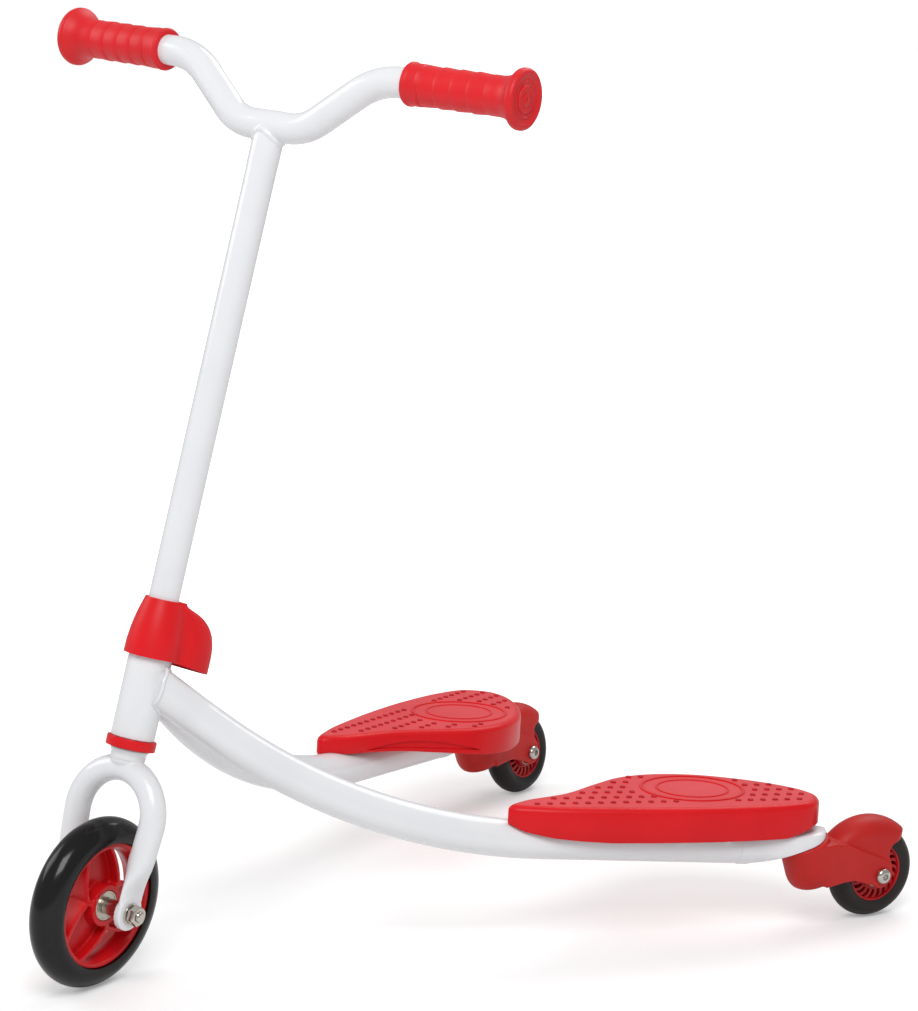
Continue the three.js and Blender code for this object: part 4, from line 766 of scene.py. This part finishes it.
into_head = ground.inverted() @ head
for side, name in ((-1, "left"), (1, "right")):
    corners = leg_corners(side)
    leg = bent_tube(f"{name}_leg_painted", corners, [57, 448], leg_radius, steps=40)
    slope = (corners[1][1] - corners[0][1]) / (corners[1][0] - corners[0][0])
    squeeze(leg, corners[0][0] - 10, corners[1][0], 0.75, lambda x: corners[0][1] + slope * (x - corners[0][0]))
    cope = moved(turned("head_cope", [(15.6, 100), (15.6, 215)], sides=96), into_head)
    front_room = moved(prism("front_room", [(-60, -60), (1, -60), (1, 60), (-60, 60)], 90, 215), into_head)
    carve(leg, cope, front_room)
    run_start, run_end = Vector(corners[0]), Vector(corners[1])
    run = (run_end - run_start).normalized()
    flank = Vector((-run.y, run.x, 0)).normalized()
    rise = run.cross(flank).normalized()
    head_middle = into_head.translation / mm
    head_way = into_head.to_3x3() @ Vector((0, 0, 1))
    weld_points = []
    for step in range(72):
        angle = 2 * math.pi * step / 72
        for tenth in range(0, 600):
            along_run = tenth / 10
            place = run_start + run * along_run + rise * (leg_radius * math.sin(angle))
            narrow = 0.75 + 0.25 * min(max((place.x - corners[0][0] + 10) / (corners[1][0] - corners[0][0] + 10), 0), 1)
            place += flank * (leg_radius * narrow * math.cos(angle))
            off_axis = place - head_middle
            off_axis -= head_way * off_axis.dot(head_way)
            if off_axis.length > 15.8 and off_axis.x > 0.6:
                break
        weld_points.append(place)
    leg = joined(f"{name}_leg_painted", leg, bead("leg_weld", weld_points, 1.5))
    settle(leg, ground, "frame", white_paint, [f"{name}_leg"], angle=50)

# Caster mounts. A cast end piece welded on each leg under the paint: it flattens into a round
# pad whose slanted underside is the seat of the caster's swivel bolt.
mount_radius = 17.0
caster_tilt = math.radians(18)
for side, name in ((-1, "left"), (1, "right")):
    swivel = axes_at(joints[f"{name}_swivel"]["pos_m"], joints[f"{name}_swivel"]["axis"], (0, 1, 0))
    leg_end = Vector(leg_corners(side)[-1])
    leg_way = (leg_end - Vector(leg_corners(side)[-2])).normalized()
    top = (ground.inverted() @ swivel @ Vector((0, 0, 34 * mm))) / mm
    way = Vector((top.x - leg_end.x, top.y - leg_end.y, 0))
    reach = way.length
    way.normalize()
    rings = []

    def pad_ring(centre, along, half_side, half_up, power, top=1.0):
        flank = Vector((0, 0, 1)).cross(along).normalized()
        rise = along.cross(flank).normalized()
        ring = []
        for step in range(64):
            angle = 2 * math.pi * step / 64
            c, s = math.cos(angle), math.sin(angle)
            u = half_side * math.copysign(abs(c) ** (2 / power), c)
            v = half_up * math.copysign(abs(s) ** (2 / power), s)
            ring.append((centre + flank * u + rise * (v * top if v > 0 else v)) * mm)
        rings.append(ring)

    pad_ring(leg_end - leg_way * 6.5, leg_way, leg_radius - 0.2, leg_radius - 0.2, 2)
    pad_ring(leg_end - leg_way * 6.3, leg_way, leg_radius + 0.4, leg_radius + 0.4, 2)
    pad_ring(leg_end + leg_way * 0.3, leg_way, leg_radius + 0.5, leg_radius + 0.5, 2)
    for step in range(1, 9):
        t = step / 8 * 0.999
        smooth = t * t * (3 - 2 * t)
        half_up = leg_radius + (11.3 - leg_radius) * smooth
        half_side = leg_radius + (mount_radius - leg_radius) * smooth
        pad_ring(leg_end + way * (reach * t), way, half_side, half_up, 2 + 3 * smooth, 1 - 0.3 * smooth)
    for degrees in range(8, 89, 8):
        angle = math.radians(degrees)
        pad_ring(leg_end + way * (reach + mount_radius * math.sin(angle)), way, mount_radius * math.cos(angle), 11.3, 5, 0.7)
    mount = lofted(f"{name}_mount_cast", rings)
    below = moved(prism("below", [(-200, -200), (200, -200), (200, 200), (-200, 200)], -200, 34), ground.inverted() @ swivel)
    carve(mount, below)
    soften(mount, 1.2, segments=4, angle=50)
    seat = moved(turned("seat", [(6.5, 31.5), (6.5, 36)], sides=48), ground.inverted() @ swivel)
    mount = joined(f"{name}_mount_cast", mount, seat)
    settle(mount, ground, "frame", white_paint, [f"{name}_caster_mount"], angle=50)

# Decks. Each is a red foot plate moulded in one piece, hollow below, with a rounded edge, short
# round studs in slanting rows, raised rings and a shallow lens-shaped recess in its inner side.
deck_length = 237
deck_width = 131
deck_side = 26
ring_place = (0.662, 0.463)
deck_points = [
    (0, 0.26), (0.085, 0.41), (0.26, 0.6), (0.43, 0.755), (0.6, 0.885), (0.805, 0.995), (0.92, 1),
    (0.99, 0.88), (1, 0.74), (0.97, 0.55), (0.9, 0.33), (0.805, 0.145), (0.69, 0.03), (0.56, 0),
    (0.435, 0.06), (0.26, 0.165), (0.08, 0.19),
]
outer_heights = [(0, 0.54), (0.035, 0.73), (0.108, 0.885), (0.186, 0.96), (0.264, 1), (0.814, 1), (0.92, 0.75), (1, 0.7)]
inner_heights = [(0, 0.54), (0.1, 0.57), (0.2, 0.6), (0.34, 0.65), (0.47, 0.74), (0.6, 0.86), (0.74, 0.94), (0.84, 0.92), (0.92, 0.78), (1, 0.7)]
deck_plastic = surface("red_deck_plastic", (0.70, 0.008, 0.013), (0.64, 0.006, 0.010), 1300, (0.30, 0.40), 0.15, gleam=0.2)
# The deck's flat top has its own finish. It is rougher than the sides, which is real, and its base colour is painted
# lighter and pinker for light falling on it from above.
deck_top_painted_light = surface("red_deck_tread", (0.72, 0.058, 0.068), (0.68, 0.046, 0.055), 1300, (0.50, 0.62), 0.30, gleam=0.35)
stud_plastic = surface("red_stud_rubber", (0.47, 0.010, 0.017), (0.41, 0.008, 0.014), 1300, (0.45, 0.58), 0.2, gleam=0.2)
upright = Matrix.Rotation(math.radians(90), 4, "X")


def smooth_outline(points, count):
    """A closed curve through points, cut into equally long steps."""
    dense = []
    total = len(points)
    for index in range(total):
        p = [Vector((*points[(index + k - 1) % total], 0)) for k in range(4)]
        knots = [0]
        for a, b in zip(p, p[1:]):
            knots.append(knots[-1] + math.sqrt((b - a).length))
        for step in range(24):
            t = knots[1] + (knots[2] - knots[1]) * step / 24
            a = [p[k] * ((knots[k + 1] - t) / (knots[k + 1] - knots[k])) + p[k + 1] * ((t - knots[k]) / (knots[k + 1] - knots[k])) for k in range(3)]
            b = [a[k] * ((knots[k + 2] - t) / (knots[k + 2] - knots[k])) + a[k + 1] * ((t - knots[k]) / (knots[k + 2] - knots[k])) for k in range(2)]
            dense.append(b[0] * ((knots[2] - t) / (knots[2] - knots[1])) + b[1] * ((t - knots[1]) / (knots[2] - knots[1])))
    lengths = [0]
    for a, b in zip(dense, dense[1:] + dense[:1]):
        lengths.append(lengths[-1] + (b - a).length)
    outline = []
    place = 0
    for step in range(count):
        wanted = lengths[-1] * step / count
        while lengths[place + 1] < wanted:
            place += 1
        a, b = dense[place], dense[(place + 1) % len(dense)]
        outline.append(a.lerp(b, (wanted - lengths[place]) / (lengths[place + 1] - lengths[place])))
    return outline


def height_share(heights, share):
    for (x0, h0), (x1, h1) in zip(heights, heights[1:]):
        if share <= x1:
            return h0 + (h1 - h0) * (share - x0) / (x1 - x0)
    return heights[-1][1]


def edge_height(x, inward):
    """The deck's side, lower on the rider's inner side towards the nose, where the leg comes in."""
    share = min(max(x / deck_length + ring_place[0], 0), 1)
    t = min(max((inward + 0.3) / 0.8, 0), 1)
    smooth = t * t * (3 - 2 * t)
    outer, inner = height_share(outer_heights, share), height_share(inner_heights, share)
    return deck_side * (outer + (inner - outer) * smooth)


def drawn_in(outline, inset, height_at):
    ring = []
    for index, place in enumerate(outline):
        way = (outline[(index + 1) % len(outline)] - outline[index - 1]).normalized()
        x = place.x - way.y * inset
        y = place.y + way.x * inset
        ring.append(Vector((x, y, height_at(x, way.x))) * mm)
    return ring


def inside(outline, x, y):
    hit = False
    for a, b in zip(outline, outline[1:] + outline[:1]):
        if (a.y > y) != (b.y > y) and x < a.x + (b.x - a.x) * (y - a.y) / (b.y - a.y):
            hit = not hit
    return hit


for side, name in ((-1, "left"), (1, "right")):
    mount_of = next(m for m in frame["record"]["mounts"] if m["name"] == f"{name}_deck_top")
    deck_place = axes_at(mount_of["pos_m"], mount_of["axis"], (0, 1, 0))
    local = [((a - ring_place[0]) * deck_length, side * (c - ring_place[1]) * deck_width) for a, c in deck_points]
    if side > 0:
        local = local[::-1]
    outline = smooth_outline(local, 180)
    area = sum(a.x * b.y - b.x * a.y for a, b in zip(outline, outline[1:] + outline[:1]))
    if area < 0:
        outline = outline[::-1]
    rounding = [(math.sin(math.radians(d)), math.cos(math.radians(d))) for d in range(0, 91, 15)]
    rings = []
    for s, c in rounding:
        rings.append(drawn_in(outline, 5 * (1 - s), lambda x, w, c=c: -4.5 * (1 - c)))
    for inset, lift in ((0, 0.8), (0.6, 0), (2.6, 0), (3.0, 0.8)):
        rings.append(drawn_in(outline, inset, lambda x, w, lift=lift: lift - edge_height(x, w * side)))
    rings.append(drawn_in(outline, 4.0, lambda x, w: -4.0))
    deck = lofted(f"{name}_deck_moulded", rings)
    tube = bent_tube("tube_room", leg_corners(side), [57, 448], leg_radius + 0.3, sides=48, steps=24)
    moved(tube, deck_place.inverted() @ ground)
    carve(deck, tube)
    band = lofted("recess_band", [drawn_in(outline, -3, lambda x, w: height) for height in (-25, 0)])
    carve(band, lofted("recess_floor", [drawn_in(outline, 1.7, lambda x, w: height) for height in (-28, 3)]))
    bow = [(-116 + 98 * k / 24, -13.5 - 4.5 * k / 24 + 7.2 * math.sin(math.pi * k / 24)) for k in range(25)]
    bow += [(-116 + 98 * k / 24, -13.5 - 4.5 * k / 24 + 1.0 * math.sin(math.pi * k / 24)) for k in range(23, 0, -1)]
    lens = moved(prism("recess_lens", bow, *sorted((0, side * deck_width))), upright)
    carve(band, lens, keep_common=True)
    carve(deck, band)
    ring_centre_local = Vector((1.5, -side * 3.0))
    raised = [turned("ring", [(38.2, -1), (38.2, 0.5), (38.6, 0.9), (40.4, 0.9), (40.8, 0.5), (40.8, -1), (38.2, -1)], sides=128)]
    raised.append(turned("ring", [(26.8, -1), (26.8, 0.4), (27.1, 0.7), (28.3, 0.7), (28.6, 0.4), (28.6, -1), (26.8, -1)], sides=128))
    for ring in raised:
        moved(ring, Matrix.Translation((*(ring_centre_local * mm), 0)) @ Matrix.Diagonal((1, 0.96, 1, 1)))
    studs = []
    row_turn = math.radians(22.5) * side
    along = Vector((math.cos(row_turn), math.sin(row_turn)))
    over = Vector((-along.y, along.x)) * -side
    for row in range(8):
        for column in range(-20, 21):
            place = along * (6.6 + 9.8 * column - 2.6 * row) + over * (15.2 * row - 50)
            if (place - ring_centre_local).length < 44:
                continue
            near = min((Vector((place.x, place.y, 0)) - q).length for q in outline)
            if near < 7.4 or not inside(outline, place.x, place.y):
                continue
            studs.append((place.x, place.y))
    stud = turned("stud", [(2.2, -0.6), (2.2, 0.7), (1.9, 1.05), (1.0, 1.2)], sides=16)
    copies = [stud]
    for x, y in studs[1:]:
        copy = stud.copy()
        copy.data = stud.data.copy()
        bpy.context.scene.collection.objects.link(copy)
        copy.data.transform(Matrix.Translation((x * mm, y * mm, 0)))
        copies.append(copy)
    stud.data.transform(Matrix.Translation((studs[0][0] * mm, studs[0][1] * mm, 0)))
    deck = joined(f"{name}_deck_moulded", deck, *raised, *copies)
    settle(deck, deck_place, "frame", deck_plastic, [f"{name}_deck"], angle=40)
    deck.data.materials.append(deck_top_painted_light)
    deck.data.materials.append(stud_plastic)
    up = deck_place.to_3x3() @ Vector((0, 0, 1))
    from_above = deck_place.inverted()
    # Flat upward faces at the top's level get the top finish with its painted light. Faces standing above the top
    # outside the rings are the studs.
    for face in deck.data.polygons:
        place = (from_above @ face.center) / mm
        if face.normal.dot(up) > 0.995 and -0.3 < place.z < 0.3:
            face.material_index = 1
        elif place.z > 0.05 and (place.xy - ring_centre_local).length > 41.2:
            face.material_index = 2

# Deck brackets and screws. A white painted saddle plate welded on the leg carries each deck, held
# by two plated screws from below. They keep the shape of the solid model.
for name in ("left", "right"):
    node = frame["nodes"][f"{name}_deck_bracket"]
    node.data.materials.clear()
    node.data.materials.append(white_paint)
    for place in ("inner", "outer"):
        node = frame["nodes"][f"{name}_{place}_deck_screw"]
        node.data.materials.clear()
        node.data.materials.append(zinc)

# Casters. Each yoke is one moulding in a duller red: a round housing for the swivel bearings, two
# arms to the axle and a mudguard hood over the wheel.
yoke_plastic = surface("caster_plastic", (0.51, 0.016, 0.013), (0.44, 0.012, 0.011), 1000, (0.40, 0.52), 0.25, gleam=0.25)
trail = 52.4
axle_place_local = Vector((trail * math.cos(caster_tilt), 0, -trail * math.sin(caster_tilt)))
yoke_outer_half = 17.3
yoke_inner_half = 12.5
yoke_housing_radius = 19.4
arm_lower = [(-1.01, -0.04), (-0.65, -0.01), (-0.48, -0.02), (-0.23, -0.11)]
arm_ridge = [(0.17, 0.16), (0.05, 0.24), (-0.31, 0.405), (-0.66, 0.565), (-0.85, 0.61), (-1.17, 0.60)]
# Half of the arms and of the hood from above, and the hood from the side, in mm about the axle
arm_plan = [(-68, 19.4), (-52.4, 19.4), (-39.3, 18.7), (-26.2, 17.7), (-13.1, 17.3), (26, 17.3)]
hood_plan = [
    (-51.7, 1.5), (-40.4, 7.6), (-30.6, 12.8), (-14.1, 14.6), (2.4, 15.2), (13.4, 15.2), (17.8, 13.6),
    (21.4, 11.2), (24.4, 8.0), (26.4, 4.2), (27.2, 0.3),
]
hood_side = [
    (11.8, 4.7), (8.0, 13.2), (8.5, 19.0), (11.8, 22.8), (18.0, 24.4), (23.4, 25.6), (26.6, 27.8), (29.0, 31.5),
    (30.0, 35.3), (0, 56.4), (-25.9, 51.7),
    (-40.4, 33.8), (-46.5, 27.3), (-47, 9.4), (-23.5, 4.7),
]
hood_centre = (-5, -3)
hood_crown = []
for step in range(13):
    angle = math.radians(90 * step / 12)
    hood_crown.append((32.0 + 15.0 * math.sin(angle) ** (2 / 2.2), 15.2 * max(math.cos(angle), 0) ** (2 / 2.2)))
level = Matrix.Translation(axle_place_local * mm) @ Matrix.Rotation(caster_tilt, 4, "Y")
for side, name in ((-1, "left"), (1, "right")):
    caster = axes_at(
        joints[f"{name}_swivel"]["pos_m"],
        joints[f"{name}_swivel"]["axis"],
        joints[f"{name}_caster_wheel_spin"]["axis"],
    )
    boss = [polar(10.4, 222 + 153 * k / 12) for k in range(13)]
    outline = [(x * trail, z * trail) for x, z in arm_lower] + boss + [(x * trail, z * trail) for x, z in arm_ridge]
    arms = moved(prism("arms", outline, -yoke_housing_radius, yoke_housing_radius), upright)
    plan = arm_plan + [(x, -y) for x, y in arm_plan[::-1]]
    carve(arms, prism("arm_plan", plan, -50, 60), keep_common=True)
    soften(arms, 2.4, segments=4, angle=40)
    moved(arms, level)
    hood_profile = [(3, -15.2)] + [(r, -y) for r, y in hood_crown] + hood_crown[-2::-1] + [(3, 15.2)]
    hood = moved(turned("hood", hood_profile, sides=96), across)
    moved(hood, Matrix.Translation((hood_centre[0] * mm, 0, hood_centre[1] * mm)))
    plan = hood_plan + [(x, -y) for x, y in hood_plan[::-1]]
    hood_room = moved(prism("hood_side", hood_side, -20, 20), upright)
    carve(hood, hood_room, prism("hood_plan", plan, 0, 90), keep_common=True)
    soften(hood, 1.6, segments=3, angle=50)
    moved(hood, level)
    housing_profile = [(12.2, -2.0), (15.2, -1.4), (17.4, 0.6), (18.8, 4.0), (19.4, 8.4), (19.4, 32.6), (18.6, 33.5)]
    housing = turned("housing", housing_profile, sides=96)
    yoke = joined(f"{name}_yoke_moulded", arms, hood, housing)
    melted(yoke, 0.6, smoothing=14)
    space_profile = [(3, -12.5), (31.1, -12.5), (36.5, -11.0), (38.9, -7.5), (38.9, 7.5), (36.5, 11.0), (31.1, 12.5), (3, 12.5)]
    space = moved(turned("space", space_profile, sides=96), level @ across)
    lower_pocket = turned("pocket", [(11.3, -4), (11.3, 10.3)], sides=64)
    upper_pocket = turned("pocket", [(11.3, 23.7), (11.3, 38)], sides=64)
    bore = turned("bore", [(9.2, 0), (9.2, 36)], sides=64)
    carve(yoke, space, lower_pocket, upper_pocket, bore)
    settle(yoke, caster, f"{name}_caster", yoke_plastic, [f"{name}_yoke"], angle=40)

# Caster fittings. Domed axle bolts and barrel nuts of polished steel, the plain swivel bearings in
# their pockets, and the swivel bolt and nut, which the deck and the yoke mostly hide.
polished_steel = surface("polished_steel", (0.62, 0.60, 0.56), (0.50, 0.48, 0.45), 300, (0.10, 0.18), 0.05, metallic=1.0)
for side, name in ((-1, "left"), (1, "right")):
    caster = axes_at(
        joints[f"{name}_swivel"]["pos_m"],
        joints[f"{name}_swivel"]["axis"],
        joints[f"{name}_caster_wheel_spin"]["axis"],
    )
    axle = caster @ Matrix.Translation(axle_place_local * mm) @ across
    for end, node, core in ((1, f"{name}_axle_bolt", -12.2), (-1, f"{name}_axle_nut", 12.5)):
        face = 17.6
        dome = [(6.0, 0.0), (6.0, 1.6), (5.8, 2.4), (5.3, 3.2), (4.5, 3.8), (3.4, 4.2), (2.4, 4.3)]
        profile = [(3.7, end * core), (3.7, end * face)]
        profile += [(radius, end * (face + height)) for radius, height in dome]
        fitting = turned(f"{node}_polished", profile, sides=64)
        socket = turned("socket", sorted([(2.9, end * 19.0), (2.9, end * 24.0)], key=lambda p: p[1]), sides=6)
        carve(fitting, socket)
        settle(fitting, axle, f"{name}_caster", polished_steel, [node], angle=30)
    for level_name in ("lower", "upper"):
        node = frame["nodes"][f"{name}_{level_name}_swivel_bearing"]
        node.data.materials.clear()
        node.data.materials.append(shield_steel)
    for fitting_name in ("bolt", "nut"):
        node = frame["nodes"][f"{name}_swivel_{fitting_name}"]
        node.data.materials.clear()
        node.data.materials.append(zinc)

# Caster wheels. A black moulded tyre on a red hub with curved slots between its vanes, on two
# ball bearings that show round the axle.
caster_tyre_rubber = surface("caster_tyre", (0.020, 0.016, 0.015), (0.012, 0.010, 0.010), 700, (0.36, 0.48), 0.2, gleam=0.25)
# The caster hubs' red is darker than the front hub's. This is partly the hubs' own darker plastic and partly painted
# shade, since the hubs sit partly in shadow.
caster_hub_plastic_and_painted_shade = surface("caster_hub_plastic_and_painted_shade", (0.42, 0.006, 0.010), (0.36, 0.005, 0.008), 900, (0.30, 0.40), 0.14, gleam=0.28)
for side, name in ((-1, "left"), (1, "right")):
    spin = joints[f"{name}_caster_wheel_spin"]
    wheel = axes_at(spin["pos_m"], joints[f"{name}_swivel"]["axis"], spin["axis"]) @ across
    half_tyre = [(22.9, -9.0), (26.0, -10.2), (28.2, -10.5), (30.6, -10.0), (32.6, -8.6), (34.3, -6.5), (35.6, -4.0), (36.2, -2.0), (36.4, 0.0)]
    tyre_profile = half_tyre + [(r, -y) for r, y in half_tyre[-2::-1]] + [half_tyre[0]]
    tyre = turned(f"{name}_caster_tyre_rubber", tyre_profile, sides=128)
    settle(tyre, wheel, f"{name}_caster_wheel", caster_tyre_rubber, [f"{name}_caster_tyre"])
    half_hub = [(12.6, -11.2), (13.0, -10.8), (13.3, -7.2), (20.9, -7.2), (21.3, -8.6), (22.0, -9.0), (22.6, -9.0)]
    hub = turned(f"{name}_hub_moulded", half_hub + [(r, -y) for r, y in half_hub[::-1]], sides=96)
    slots = []
    for index in range(20):
        turn = 18 * index
        edge_a, edge_b = [], []
        for step in range(7):
            t = step / 6
            radius = 13.9 + (20.8 - 13.9) * t
            x, y = polar(radius, 9 * t * t)
            half = 1.85 * (0.66 + 0.34 * t)
            edge_a.append((x, y - half))
            edge_b.append((x, y + half))
        slot = prism("slot", edge_a + edge_b[::-1], -12, 12)
        slots.append(moved(slot, Matrix.Rotation(math.radians(-turn), 4, "Z")))
    slots = joined("slots", *slots)
    pocket_profile = [(11.3, -14), (11.3, -4.9), (9.2, -4.9), (9.2, 4.9), (11.3, 4.9), (11.3, 14)]
    carve(hub, slots, turned("pocket", pocket_profile, sides=64))
    soften(hub, 0.25, segments=2, angle=40)
    settle(hub, wheel, f"{name}_caster_wheel", caster_hub_plastic_and_painted_shade, [f"{name}_caster_hub"], angle=35)
    for end, node in ((-1, "outer"), (1, "inner")):
        ball_bearing(
            f"{name}_{node}_ball_bearing",
            end * 5.2,
            end * 12.2,
            wheel,
            f"{name}_caster_wheel",
            f"{name}_{node}_wheel_bearing",
        )
